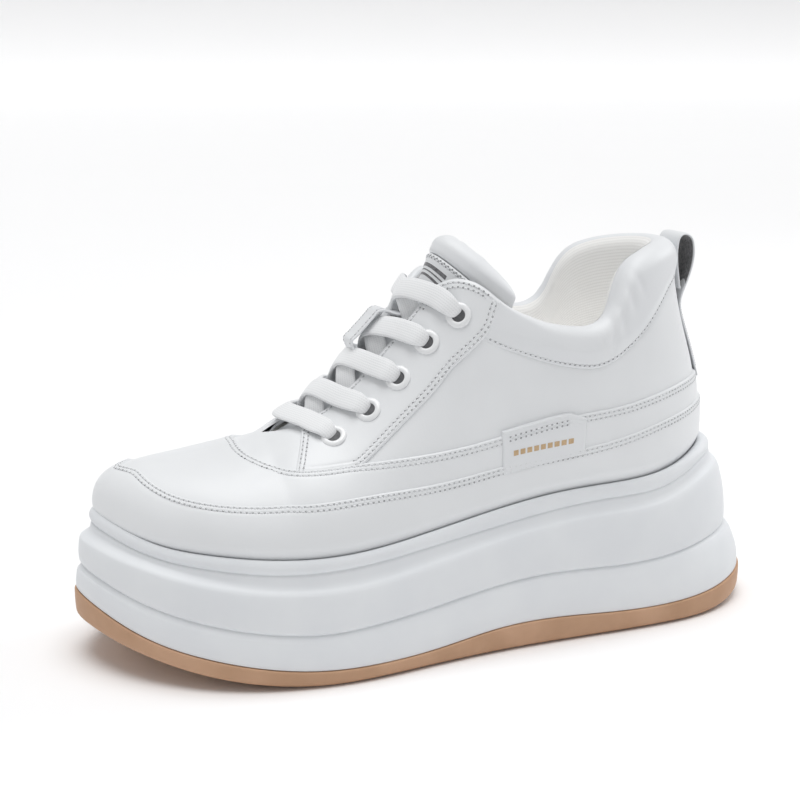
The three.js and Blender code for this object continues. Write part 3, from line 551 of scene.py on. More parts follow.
STITCH_ROWS = (1.15, 2.75)  # how far the two rows of a double seam lie in from the edge
NEAR_EDGE = (0.1, 0.22, 0.4, 0.6, 0.85, 1.15, 1.45, 1.75, 2.15, 2.45, 2.75, 3.05, 3.4, 4.2)
SINK = -0.5  # how far the side of a panel reaches into what it lies on
TROUGH = 0.16  # depth of the trough that a seam pulls into leather
ROW_SETTLE = 0.12  # the same for a single row, before it is seated


def dent(distance, depth, width):
    """Depth of a soft dent at a distance from its middle."""
    return depth * np.exp(-((distance / width) ** 2))


def edge_height(distance, thickness):
    """Height of a panel by the distance from its edge: a rounded cut edge, and a trough under each seam."""
    height = thickness * (1 - dent(distance, 0.5, 0.3))
    for row in STITCH_ROWS:
        height = height - dent(distance - row, TROUGH, 0.4)
    return height


# ----------------------------------------------------------------------------------------------------------
# Materials
# ----------------------------------------------------------------------------------------------------------
class Nodes:
    """A node material put together by short calls."""

    def __init__(self, name, colour, roughness, **sockets):
        self.material = bpy.data.materials.new(name)
        self.material.use_nodes = True
        self.tree = self.material.node_tree
        self.shader = next(n for n in self.tree.nodes if n.type == "BSDF_PRINCIPLED")
        self.shader.inputs["Base Color"].default_value = (*colour, 1)
        self.shader.inputs["Roughness"].default_value = roughness
        for socket, value in sockets.items():
            self.shader.inputs[socket.replace("_", " ")].default_value = value
        self.places = self.node("ShaderNodeTexCoord")

    def node(self, kind, **settings):
        made = self.tree.nodes.new(kind)
        for key, value in settings.items():
            if key in made.inputs:
                made.inputs[key].default_value = value
            else:
                setattr(made, key, value)
        return made

    def link(self, out, into):
        self.tree.links.new(out, into)
        return self

    def noise(self, scale, detail):
        made = self.node("ShaderNodeTexNoise", Scale=scale, Detail=detail)
        self.link(self.places.outputs["Object"], made.inputs["Vector"])
        return made.outputs["Fac"]

    def cells(self, scale):
        made = self.node("ShaderNodeTexVoronoi", Scale=scale)
        self.link(self.places.outputs["Object"], made.inputs["Vector"])
        return made.outputs["Distance"]

    def maths(self, operation, a, b=0.5, c=0.5):
        made = self.node("ShaderNodeMath", operation=operation)
        for socket, value in zip(made.inputs, (a, b, c)):
            if isinstance(value, (int, float)):
                socket.default_value = value
            else:
                self.link(value, socket)
        return made.outputs[0]

    def wave(self, value, period):
        return self.maths("SINE", self.maths("MULTIPLY", value, 2 * np.pi / period))

    def along(self, axis):
        """A texture coordinate in millimetres along one axis of the mesh's own map."""
        made = self.node("ShaderNodeSeparateXYZ")
        self.link(self.places.outputs["UV"], made.inputs[0])
        return made.outputs[axis]

    def ramp(self, value, stops):
        """Colours between two stops."""
        made = self.node("ShaderNodeValToRGB")
        for element, (place, colour) in zip(made.color_ramp.elements, stops):
            element.position = place
            element.color = (*colour, 1)
        self.link(value, made.inputs["Fac"])
        return made.outputs["Color"]

    def bump(self, height, strength, distance, after=None):
        made = self.node("ShaderNodeBump", Strength=strength, Distance=distance)
        self.link(height, made.inputs["Height"])
        if after is not None:
            self.link(after, made.inputs["Normal"])
        return made.outputs["Normal"]

    def colour(self, out):
        return self.link(out, self.shader.inputs["Base Color"])

    def roughness(self, value, low, high):
        made = self.node("ShaderNodeMapRange")
        made.inputs["To Min"].default_value = low
        made.inputs["To Max"].default_value = high
        self.link(value, made.inputs["Value"])
        return self.link(made.outputs["Result"], self.shader.inputs["Roughness"])

    def normal(self, out):
        self.link(out, self.shader.inputs["Normal"])
        return self.material


def surface(name, base, roughness, tone, shine, bumps, **sockets):
    """A material from noises.

    tone holds the scale and the detail of its noise, then the place and the colour of two stops. shine holds
    its scale and detail, then the least and the most roughness. A bump holds its scale, detail, strength and
    depth in metres, and has cells in place of noise where the detail is None.
    """
    nodes = Nodes(name, base, roughness, **sockets)
    scale, detail, *stops = tone
    nodes.colour(nodes.ramp(nodes.noise(scale, detail), zip(stops[::2], stops[1::2])))
    if shine:
        scale, detail, low, high = shine
        nodes.roughness(nodes.noise(scale, detail), low, high)
    normal = None
    for scale, detail, strength, depth in bumps:
        texture = nodes.cells(scale) if detail is None else nodes.noise(scale, detail)
        normal = nodes.bump(texture, strength, depth, normal)
    return nodes.normal(normal)


def leather(name, light, dark, low=0.34, high=0.46, grain=0.35):
    """Smooth coated leather: fine closed grain, slow waves and a faint change of tone."""
    bumps = [(75, 3, 0.16, 0.0006), (1500, None, grain * 0.3, 0.00008), (2600, 3, grain, 0.00004)]
    tone = (38, 2, 0.3, dark, 0.7, light)
    return surface(name, light, 0.4, tone, (160, 3, low, high), bumps, Specular_IOR_Level=0.42)


def foam(name, light, dark):
    """Moulded sole compound: a matt skin with a very fine texture."""
    bumps = [(60, 2, 0.1, 0.0005), (3200, 2, 0.22, 0.00004)]
    tone = (45, 3, 0.35, dark, 0.65, light)
    return surface(name, light, 0.5, tone, (240, 2, 0.42, 0.56), bumps, Specular_IOR_Level=0.35)


def gum(name):
    tone = (55, 4, 0.3, (0.49, 0.295, 0.18), 0.7, (0.59, 0.365, 0.235))
    bumps = [(2400, 3, 0.35, 0.00006)]
    return surface(name, (0.55, 0.35, 0.22), 0.55, tone, (300, 3, 0.46, 0.66), bumps, Specular_IOR_Level=0.3)


def mesh_textile(name, light, dark):
    """Ribbed mesh lining: ribs along the foot, with a fine grid of threads over them."""
    nodes = Nodes(name, light, 0.85, Sheen_Weight=0.3, Specular_IOR_Level=0.2)
    rib, thread = nodes.wave(nodes.along(1), 1.25), nodes.wave(nodes.along(0), 0.75)
    ribs = nodes.maths("MULTIPLY_ADD", rib, 0.5, 0.5)
    grid = nodes.maths("MULTIPLY", ribs, nodes.maths("MULTIPLY_ADD", thread, 0.3, 0.7))
    nodes.colour(nodes.ramp(grid, [(0, dark), (0.45, light)]))
    return nodes.normal(nodes.bump(grid, 0.3, 0.00015))


def woven(name, light, dark):
    """Flat cotton lace: cords along its length, with a fine slanted weave over them."""
    nodes = Nodes(name, light, 0.8, Sheen_Weight=0.3, Specular_IOR_Level=0.2)
    across, lengthways = nodes.along(0), nodes.along(1)
    slant = nodes.maths("ADD", lengthways, nodes.maths("MULTIPLY", nodes.maths("ABSOLUTE", across), 0.7))
    weave, cords = nodes.wave(slant, 0.8), nodes.wave(across, 0.92)
    raised = nodes.maths("MULTIPLY_ADD", cords, 0.3, 0.5)
    height = nodes.maths("ADD", raised, nodes.maths("MULTIPLY", weave, 0.14))
    nodes.colour(nodes.ramp(height, [(0.0, dark), (0.4, light)]))
    fuzz = nodes.bump(nodes.noise(4200, 3), 0.25, 0.00006)
    return nodes.normal(nodes.bump(height, 0.35, 0.00018, fuzz))


def enamel(name):
    nodes = Nodes(name, (0.84, 0.85, 0.86), 0.22, Coat_Weight=0.4, Coat_Roughness=0.12)
    nodes.roughness(nodes.noise(350, 2), 0.18, 0.3)
    return nodes.normal(nodes.bump(nodes.noise(220, 2), 0.05, 0.0002))


def suede(name):
    """Napped material in dark grey: on the pull loop's inner face the dark grey is painted shade inside the
    loop; on the tongue label it is print.
    """
    tone = (900, 4, 0.35, (0.1, 0.1, 0.105), 0.7, (0.24, 0.24, 0.25))
    bumps = [(2600, 4, 0.8, 0.0002)]
    base = (0.13, 0.13, 0.135)
    return surface(name, base, 0.95, tone, None, bumps, Sheen_Weight=0.5, Specular_IOR_Level=0.1)


def thread(name, light, dark):
    tone = (700, 2, 0.3, dark, 0.7, light)
    return surface(name, light, 0.6, tone, None, [(5000, 2, 0.4, 0.00006)], Sheen_Weight=0.2)


WHITE = leather("white_leather", (0.82, 0.835, 0.85), (0.79, 0.805, 0.82))
SOFT_WHITE = leather("soft_white_leather", (0.8, 0.815, 0.83), (0.765, 0.78, 0.8), 0.4, 0.52, 0.5)
FOAM = foam("white_foam", (0.81, 0.83, 0.85), (0.78, 0.8, 0.825))
GUM = gum("gum_rubber")
LINING = mesh_textile("lining_textile", (0.95, 0.945, 0.93), (0.87, 0.865, 0.85))
LACE = woven("lace_cotton", (0.86, 0.87, 0.88), (0.72, 0.735, 0.75))
ENAMEL = enamel("white_enamel")
# Dark grey nap: painted shade on the pull loop's inner face, and the colour of the tongue label's print.
NAP_SHADE_AND_PRINT = suede("grey_nap")
THREAD = thread("white_thread", (0.83, 0.84, 0.86), (0.72, 0.735, 0.75))
# Near-black colour for the needle holes and the eyelets' bores: painted shade in the holes.
PAINTED_HOLE_SHADE = thread("hole_shade", (0.1, 0.102, 0.108), (0.06, 0.062, 0.066))
MARK = thread("tan_mark", (0.62, 0.44, 0.26), (0.52, 0.36, 0.2))


def finished(piece, slot, *nodes):
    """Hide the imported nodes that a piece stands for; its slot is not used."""
    if nodes:
        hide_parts(*nodes)
    return piece


# ----------------------------------------------------------------------------------------------------------
# Sole
# ----------------------------------------------------------------------------------------------------------
SOLE_PLACES = np.linspace(-LAST, LAST, 521)


def wall_height(low, high, share, rise):
    def at(x):
        floor = level[low](x)
        return np.maximum(0, floor + (level[high](x) - floor) * share + rise)

    return at


def sole_wall(rows, sharp=()):
    rings = [sole_edge(SOLE_PLACES, inset, wall_height(*place)) for *place, inset in rows]
    return rounded(np.stack(rings), sharp, 4)


def lid(ring, count=14):
    """A net across a closed ring, from its inner half to its outer half, from the toe to the heel."""
    toe = len(ring) // 2
    outer, inner = ring[toe:], ring[toe::-1]
    share = np.linspace(0, 1, count)[:, None, None]
    return inner + (outer - inner) * share


def closed_sole_piece(name, walls, material):
    net = Net()
    net.grid(walls, unrolled(walls), flip=True)
    net.grid(lid(walls[0]), flip=True)
    net.grid(lid(walls[-1]))
    return net.object(name, material)


TREAD_PLACES = [*range(16, 89, 12), *range(-116, -49, 12)]  # x of each groove under the forefoot and the heel
TREAD = {"reach": 29, "sweep": 7, "width": 3, "depth": 2.2}


def v_groove_cutter(name):
    """Prisms with a V plan, one for each groove of the tread."""
    reach, sweep, width, depth = TREAD.values()
    front = [(0, -reach), (sweep, 0), (0, reach)]
    plan = [*front, *((x + width, y) for x, y in front[::-1])]
    work = bmesh.new()
    for x in TREAD_PLACES:
        top = float(level["bottom"](x)) + depth
        low = [work.verts.new(Vector((x + px, py, -1)) * MM) for px, py in plan]
        high = [work.verts.new(Vector((x + px, py, top)) * MM) for px, py in plan]
        work.faces.new(low)
        work.faces.new(high[::-1])
        for i in range(len(plan)):
            j = (i + 1) % len(plan)
            work.faces.new((low[j], low[i], high[i], high[j]))
    bmesh.ops.recalc_face_normals(work, faces=work.faces)
    mesh = bpy.data.meshes.new(name)
    work.to_mesh(mesh)
    work.free()
    cutter = bpy.data.objects.new(name, mesh)
    bpy.context.scene.collection.objects.link(cutter)
    return cutter


def apply_modifiers(piece):
    """Replace a piece's mesh with what its modifiers make of it."""
    ready = piece.evaluated_get(bpy.context.evaluated_depsgraph_get())
    mesh = bpy.data.meshes.new_from_object(ready, depsgraph=bpy.context.evaluated_depsgraph_get())
    piece.modifiers.clear()
    piece.data = mesh
    return piece


def make_outsole():
    outsole = closed_sole_piece("outsole_fine", sole_wall(GUM_WALL), GUM)
    cutter = v_groove_cutter("tread_cutter")
    cut = outsole.modifiers.new("tread", "BOOLEAN")
    cut.operation, cut.solver, cut.object = "DIFFERENCE", "EXACT", cutter
    apply_modifiers(outsole)
    bpy.data.objects.remove(cutter)
    finished(outsole, "gum_rubber", "outsole")


def grown(inset, by):
    return tuple(value + by for value in inset)


CREASE_ROW = 7  # row of MIDSOLE_WALL at the bottom of the crease between the two rolls


def make_midsole():
    walls = sole_wall(MIDSOLE_WALL, (CREASE_ROW,))
    cup = grown(UPPER_INSET, CUP_GAP)
    lip = sole_edge(SOLE_PLACES, cup, lambda x: level["rim"](x) - RIM_LIP)
    floor = sole_edge(SOLE_PLACES, cup, lambda x: level["rim"](x) - CUP_DEPTH - GAP)
    walls = np.concatenate([walls, [lip, floor]])
    finished(closed_sole_piece("midsole_fine", walls, FOAM), "white_foam", "midsole")


def make_insole():
    edge = grown(UPPER_INSET, -WALL - GAP)

    def ring(by, above):
        return sole_edge(SOLE_PLACES, grown(edge, -by), lambda x: level["rim"](x) - CUP_DEPTH + above)

    soft, high = INSOLE_ROUND, INSOLE_THICKNESS - INSOLE_ROUND
    bend = np.linspace(0, np.pi / 2, 6)
    walls = np.stack([ring(0, 0), *(ring(soft * (1 - np.cos(a)), high + soft * np.sin(a)) for a in bend)])
    net = Net()
    net.grid(walls, unrolled(walls), flip=True)
    net.grid(lid(walls[0]), flip=True)
    top = lid(walls[-1], 40)
    net.grid(top, top[..., :2])
    finished(net.object("insole_fine", LINING), "lining_textile", "insole")


# ----------------------------------------------------------------------------------------------------------
# Upper: skin, lining and collar
# ----------------------------------------------------------------------------------------------------------
def stations(*runs):
    """Rising stations; each run is (up to, step)."""
    made = [0.0]
    for upto, step in runs:
        count = max(1, int(round((upto - made[-1]) / step)))
        made.extend(made[-1] + (upto - made[-1]) * np.arange(1, count + 1) / count)
    return np.array(made)


UPPER_STATIONS = stations(
    (3.5, 0.08), (4.5, 0.05), (6.4, 0.06), (7.2, 0.025), (8.2, 0.06), (9.3, 0.035), (LAST, 0.07)
)
EDGE_SEAM = 0.9  # distance down the inside of the edge where leather meets lining
COLLAR_FRONT = 6.98  # station where the pad's top edge starts
COLLAR_BED = 1.0  # how far the skin sinks under the pad
COLLAR_STITCH = 1.1  # distance from the pad's seam to its row of stitches


def rolled(u, v, share_inside):
    """Offset inwards from the skin: a half round at the top edge that carries the wall over to its inside."""
    s = np.abs(u)
    wall = wall_thickness(s, v)
    radius = wall / 2 * smooth(s, THROAT_BASE - 0.1, THROAT_BASE + 0.4)
    away = np.linalg.norm(skin(u, v) - skin(u, 1 + 0 * v), axis=-1)
    inner = np.clip(radius - away, 0, None)
    sweep = radius - np.sqrt(np.maximum(0, radius**2 - inner**2))
    return sweep + (wall - 2 * sweep) * share_inside


CREASES = [  # soft folds: from station, share; to station, share; depth, width
    ((8.52, 0.995), (8.5, 0.84), -0.7, 1.5),
    ((8.66, 0.995), (8.68, 0.85), -0.8, 1.6),
    ((8.8, 0.99), (8.88, 0.86), -0.7, 1.7),
    ((8.94, 0.985), (9.08, 0.88), -0.5, 1.7),
    ((8.3, 0.93), (8.62, 0.9), 0.35, 2.4),
    ((8.62, 0.78), (9.2, 0.6), -0.4, 5),
    ((7.7, 0.72), (7.2, 0.56), -0.35, 5),
    ((8.2, 0.72), (7.9, 0.6), 0.35, 5),
    ((5.0, 0.66), (4.7, 0.4), -0.35, 4),
    ((4.2, 0.74), (3.7, 0.55), -0.3, 3.5),
    ((3.95, 0.93), (3.75, 0.8), -0.35, 2.6),
]


def crease_height(points, u):
    """Sum of the soft folds, on both sides of the shoe."""
    total = np.zeros(points.shape[:-1])
    for side in (1, -1):
        for (s0, v0), (s1, v1), depth, width in CREASES:
            a, b = skin(np.array([side * s0, side * s1]), np.array([v0, v1]))
            along = b - a
            share = np.clip(((points - a) @ along) / (along @ along), 0, 1)
            away = np.linalg.norm(points - (a + share[..., None] * along), axis=-1)
            fade = np.sin(np.pi * np.clip(share, 0.03, 0.97)) ** 0.5
            total += np.where(np.sign(u) == side, depth * fade * np.exp(-((away / width) ** 2)), 0)
    return total


def make_upper_skin():
    even = np.linspace(0, PAD_ZONE[1], 40)
    closer = 1 - (1 - PAD_ZONE[1]) * np.cos(np.linspace(0, np.pi / 2, 18))[1:]
    shares = np.concatenate([even, closer])
    net = Net()
    for side in (1, -1):
        u, v = np.meshgrid(side * UPPER_STATIONS, shares, indexing="xy")
        flat, s = skin(u, v), np.abs(u)
        above_seam = flat[..., 2] - collar_z(s)
        height = crease_height(flat, u) * smooth(v, 0, 0.12) - rolled(u, v, 0)
        height = height - COLLAR_BED * smooth(s, 7.0, 7.2) * smooth(above_seam, -0.5, 2.5)
        outer = laid(u, v, height)
        outer = np.concatenate([outer[:1] - np.array([0, 0, CUP_DEPTH]), outer])
        # Nothing of the skin is left deep under the pad.
        covered = (s > 7.25) & (above_seam > 6)
        keep = np.ones((outer.shape[0] - 1, outer.shape[1] - 1), bool)
        keep[1:] = ~covered[:-1, 1:]
        net.grid(outer, unrolled(outer), flip=side > 0, keep=keep)
        # The throat's edge turns in over the wall to the lining's seam.
        over = UPPER_STATIONS[(UPPER_STATIONS >= THROAT_BASE - 0.1) & (UPPER_STATIONS <= 7.4)]
        net.grid(inner_face(side * over, np.linspace(0, EDGE_SEAM, 4)), flip=side > 0)
    finished(net.object("upper_fine", WHITE), "white_leather", "upper")


def inner_face(u, depths):
    """Rows on the inside of the wall, at distances down from its top edge."""
    down = np.linspace(0.6, 1, 81)[:, None]
    ribs = skin(u, down + 0 * u)
    away = np.linalg.norm(ribs - ribs[-1:], axis=-1)
    v = np.stack([[np.interp(-d, -away[:, i], down[:, 0]) for i in range(len(u))] for d in depths])
    uu = np.broadcast_to(u, v.shape)
    return laid(uu, v, -rolled(uu, v, 1))


LINING_DEPTHS = [EDGE_SEAM - 0.3, EDGE_SEAM, EDGE_SEAM + 0.5, EDGE_SEAM + 1.1, 2.6, 3.6, 5, 7]
LINING_TUCK = 0.25  # how far its first row goes in under the leather
EVEN_LINING = 7.5  # distance from the edge where its even rows start


def make_lining():
    net = Net()
    for side in (1, -1):
        u = side * UPPER_STATIONS
        top = inner_face(u, LINING_DEPTHS)
        top[0] -= LINING_TUCK * skin_normal(u, 0.98 + 0 * u)
        shares = np.linspace(0, 0.9, 46)[::-1]
        uu, vv = np.meshgrid(u, shares, indexing="xy")
        below = laid(uu, vv, -rolled(uu, vv, 1))
        lowest = below[-1:] - np.array([0, 0, CUP_DEPTH])
        away = np.linalg.norm(skin(uu, vv) - skin(uu, 1 + 0 * vv), axis=-1)
        start = int(np.argmax(away.min(axis=1) > EVEN_LINING))
        points = np.concatenate([top, below[start:], lowest])
        net.grid(points, unrolled(points), flip=side > 0)
    finished(net.object("upper_lining", LINING), "lining_textile")


def make_collar():
    """The padded collar from its seam up over the edge, round the heel from one side to the other."""
    s_top = np.linspace(COLLAR_FRONT, 8.2, 70)[:-1]
    s_top = np.concatenate([s_top, np.linspace(8.2, 9.3, 70)[:-1], np.linspace(9.3, LAST, 60)])
    # Up to the upright station the rows lean back from the seam's front end to the edge.
    front_low, upright = 6.8, 7.6
    lean = (upright - front_low) / (upright - COLLAR_FRONT)
    s_low = np.where(s_top < upright, front_low + (s_top - COLLAR_FRONT) * lean, s_top)
    near = (0.12, 0.3, 0.6, 1.0, 1.5, 2.1, 2.8, 3.6)
    top_near = tuple(top_pad(LAST) * (1 - np.cos(a)) for a in np.linspace(0.12, 1.3, 14))
    net = Net()
    for side in (1, -1):
        low_v = share_at_height(side * s_low, collar_z(s_low))
        u, v = between(side * s_low, low_v, side * s_top, 1 + 0 * s_top, 16, near, top_near)
        flat = skin(u, v)
        from_seam = np.linalg.norm(flat - flat[:1], axis=-1)
        from_top = np.linalg.norm(flat - flat[-1:], axis=-1)
        swell = 1.35 * smooth(from_seam, 0, 7) * smooth(from_top, -3, 9)
        seam = 0.3 * smooth(from_seam, 0, 0.5) - dent(from_seam - COLLAR_STITCH, 0.22, 0.5)
        front = smooth(np.abs(u), 6.8, 7.5)
        height = seam + swell * (0.25 + 0.75 * front) + crease_height(flat, u) - rolled(u, v, 0)
        inside = inner_face(side * s_top, np.linspace(0, EDGE_SEAM, 5))
        skirt = laid(u[:1], v[:1], 0 * v[:1] - 0.6)
        points = np.concatenate([skirt, laid(u, v, height), inside[1:]])
        net.grid(points, unrolled(points), flip=side > 0)
    collar = net.object("collar_pad", SOFT_WHITE)
    finished(collar, "white_leather")
    return collar


# ----------------------------------------------------------------------------------------------------------
# Overlay panels
# ----------------------------------------------------------------------------------------------------------
PANEL_STATIONS = stations((3.4, 0.07), (3.9, 0.02), (5, 0.05), (LAST, 0.07))


def both_sides(s):
    return np.concatenate([-s[:0:-1], s])


def panel(name, u, v, height, sides="t", material=WHITE, tuck=SINK, flip=False, keep=None):
    """A raised sheet over places on the skin.

    sides lists the borders that turn down: t, b, l or r; tuck is the height to which the top one goes.
    """
    pads = ((int("b" in sides), int("t" in sides)), (int("l" in sides), int("r" in sides)))
    u, v = np.pad(u, pads, mode="edge"), np.pad(v, pads, mode="edge")
    height = np.pad(height, pads, constant_values=SINK)
    height[-1] = tuck
    points = laid(u, v, height)
    piece = Net().grid(points, unrolled(points), flip, keep).object(name, material)
    return finished(piece, "white_leather")


MUDGUARD_HEIGHT = 1.75
MUDGUARD_FOOT = 0.32
STRIP_HEIGHT = 1.0
FACING_HEIGHT = 0.95
FACING_LENGTH = 112  # about, from its front edge to its top corner
THROAT_STITCHES = (1.8, 3.6)  # how far its rows of stitches lie from the throat


def mudguard_top(u):
    return share_at_height(u, mudguard_z(np.abs(u)))


def strip_top(u):
    s = np.abs(u)
    return np.where(s <= STRIP_START, 1, share_at_height(u, strip_z(np.maximum(s, STRIP_START))))


def make_mudguard():
    u = both_sides(PANEL_STATIONS)
    uu, vv = between(u, 0 * u, u, mudguard_top(u), 14, (), NEAR_EDGE)
    points = skin(uu, vv)
    height = edge_height(distance_to(points, [laid(u, mudguard_top(u), 0 * u)]), MUDGUARD_HEIGHT)
    # It thins out towards the rim, to fit into the cup.
    above_rim = points[..., 2] - level["rim"](points[..., 0])
    height = MUDGUARD_FOOT + (height - MUDGUARD_FOOT) * smooth(above_rim, -0.5, 5)
    return panel("mudguard", uu, vv, height)


def make_strip():
    """Vamp cap over the toe that runs back along each side as a strip."""
    u = both_sides(PANEL_STATIONS)
    low = np.maximum(0.02, mudguard_top(u) - 0.05)
    high = strip_top(u)
    uu, vv = between(u, low, u, high, 22, (), NEAR_EDGE)
    exposed = np.abs(u) >= STRIP_START
    halves = [exposed & (np.sign(u) == side) for side in (1, -1)]
    lines = [laid(u[half], high[half], 0 * u[half]) for half in halves]
    points = skin(uu, vv)
    height = edge_height(distance_to(points, lines), STRIP_HEIGHT) + 0.6 * crease_height(points, uu)
    # Only an exposed edge is turned down.
    keep = np.ones((len(uu), len(u) - 1), bool)
    keep[-1] = exposed[1:] & exposed[:-1] & (np.sign(u[1:]) == np.sign(u[:-1]))
    return panel("vamp_strip", uu, vv, height, keep=keep)


def facing_frame(side):
    """Lines along the bottom and the top of a facing, from its front edge to its top corner."""
    front_low, front_high = FACING_FRONT
    s = np.linspace(front_low, 5.04, 5)
    under_strip = zip(s, strip_top(side * s) - 0.03)
    low = curve([*under_strip, *FACING_EDGE])
    high = curve([(front_high, 1), (5.2, 1), (5.8, 1), (6.3, 1), (6.6, 1), (6.85, 1), (FACING_TOP + 0.06, 1)])
    return low, high


def make_facing(side, word):
    """An eyelet facing; the rings' own bores, darkened by discs of painted shade, stand in for its holes."""
    low, high = facing_frame(side)
    front_near = (0.1, 0.22, 0.4, 0.65, 0.95, 1.25, 1.55, 1.9, 2.6)
    rear_near = (0.1, 0.25, 0.45, 0.7, 1, 1.5, 2.2)
    t = spread(FACING_LENGTH, 0.9, front_near, rear_near)
    a, b = low(t), high(t)
    top_near = (0.12, 0.3, 0.6, 1, 1.45, 1.8, 2.15, 3)
    uu, vv = between(side * a[:, 0], a[:, 1], side * b[:, 0], np.minimum(1, b[:, 1]), 34, NEAR_EDGE, top_near)
    points = skin(uu, vv)
    height = edge_height(distance_to(points, [points[0], points[:, 0]]), FACING_HEIGHT)
    from_top = distance_to(points, [points[-1]])
    height = height - dent(from_top, 0.75, 0.75) - dent(from_top - THROAT_STITCHES[0], TROUGH, 0.4)
    height = height - dent(distance_to(points, [points[:, -1]]), 0.5, 0.3) + 0.5 * crease_height(points, uu)
    return panel(f"facing_{word}", uu, vv, height, "tblr", tuck=-1.3, flip=side < 0)


# ----------------------------------------------------------------------------------------------------------
# Stitches
# ----------------------------------------------------------------------------------------------------------
def resample(line, step):
    reach = np.concatenate([[0], np.cumsum(np.linalg.norm(np.diff(line, axis=0), axis=1))])
    count = max(2, int(round(reach[-1] / step)))
    at = np.linspace(0, reach[-1], count + 1)
    return np.stack([np.interp(at, reach, line[:, k]) for k in range(line.shape[1])], -1)


SEAT_REACH = 3.0  # how far over and under a point its seat is looked for


def seated(points, normals, pieces):
    """Points moved along their normals onto the uppermost of some pieces."""
    trees = []
    for piece in pieces:
        places = np.empty(3 * len(piece.data.vertices))
        piece.data.vertices.foreach_get("co", places)
        corners = [tuple(face.vertices) for face in piece.data.polygons]
        trees.append(BVHTree.FromPolygons(places.reshape(-1, 3).tolist(), corners))
    moved = points.copy()
    for i, (p, n) in enumerate(zip(points, normals)):
        start, way = Vector((p + n * SEAT_REACH) * MM), Vector(-n)
        hits = [tree.ray_cast(start, way, 2 * SEAT_REACH * MM)[3] for tree in trees]
        hits = [hit for hit in hits if hit is not None]
        if hits:
            moved[i] = p + n * (SEAT_REACH - min(hits) / MM)
    return moved


STITCH_PROFILE = [  # share of the length, share of the thickness
    (-0.5, 0.05), (-0.44, 0.6), (-0.25, 0.95), (0, 1), (0.25, 0.95), (0.44, 0.6), (0.5, 0.05),
]


def sew(name, rows, pieces):
    """Rounded stitches along rows of (points, normals), in one mesh, with dark cones of painted shade in
    their needle holes in another.
    """
    ring = np.linspace(0, 2 * np.pi, 7)
    c, s = np.cos(ring)[:, None], np.sin(ring)[:, None]
    half_wide, half_high = STITCH["half"]
    radius, rise = NEEDLE_HOLE_SHADE.values()
    thread_net, hole_shade_net = Net(), Net()
    for points, normals in rows:
        both = resample(np.concatenate([points, normals], 1), STITCH["pitch"])
        at, up = both[:, :3], unit(both[:, 3:])
        middles = seated((at[1:] + at[:-1]) / 2, unit(up[1:] + up[:-1]), pieces)
        at = seated(at, up, pieces)
        for i, centre in enumerate(middles):
            along = at[i + 1] - at[i]
            reach = np.linalg.norm(along)
            along = along / max(reach, 1e-6)
            n = unit(up[i] + up[i + 1])
            across = np.cross(n, along)
            size = STITCH["length"] * reach / STITCH["pitch"]
            section = c * across * half_wide + s * n * half_high
            rings = []
            for a, r in STITCH_PROFILE:
                over = STITCH["lift"] - STITCH["dip"] * abs(2 * a) ** 3
                rings.append(centre + along * size * a + section * r + n * over)
            thread_net.grid(np.stack(rings))
            # A dark cone in the needle hole: painted shade.
            disc = at[i] + (c * across * radius + s * along * radius) + up[i] * rise
            hole_shade_net.grid(np.stack([disc, np.repeat((at[i] - up[i] * rise)[None], len(ring), 0)]), flip=True)
    stitches = thread_net.object(f"{name}_stitches", THREAD, weld=1e-7)
    holes = hole_shade_net.object(f"{name}_needle_hole_shades", PAINTED_HOLE_SHADE, weld=1e-7)
    for piece in (stitches, holes):
        finished(piece, "lace_cotton")


def inset_row(u, edge_v, distance, height):
    """A row of (points, normals) at a distance down the ribs from an edge line."""
    step = 0.04
    drop = np.linalg.norm(laid(u, edge_v - step, 0 * u) - laid(u, edge_v, 0 * u), axis=-1)
    v = edge_v - distance / (drop / step)
    return laid(u, v, height + 0 * u), skin_normal(u, v)


def offset_row(u, edge_v, distance, height):
    """A row at a true distance from a line that may run along the ribs."""
    edge, n = laid(u, edge_v, 0 * u), skin_normal(u, edge_v)
    along = unit(np.gradient(edge, axis=0))
    inward = np.cross(along, n) * np.sign(u)[:, None]
    return edge + inward * distance + n * height, n


def join_at_ridge(outer, inner):
    """One row from the inner side's heel over the ridge to the outer side's heel."""
    (a, na), (b, nb) = outer, inner
    keep_a, keep_b = a[:, 1] > middle(a[:, 0]) + 0.3, b[:, 1] < middle(b[:, 0]) - 0.3
    return np.concatenate([b[keep_b][::-1], a[keep_a]]), np.concatenate([nb[keep_b][::-1], na[keep_a]])


def sew_panels(mudguard, strip):
    u = both_sides(PANEL_STATIONS)
    rows = [inset_row(u, mudguard_top(u), d, MUDGUARD_HEIGHT - TROUGH) for d in STITCH_ROWS]
    sew("mudguard", rows, [mudguard])
    s = PANEL_STATIONS[PANEL_STATIONS > STRIP_START + 0.02]
    outer, inner = (
        [offset_row(u, strip_top(u), d, STRIP_HEIGHT - TROUGH) for d in STITCH_ROWS] for u in (s, -s)
    )
    sew("vamp_strip", [join_at_ridge(*pair) for pair in zip(outer, inner)], [strip])


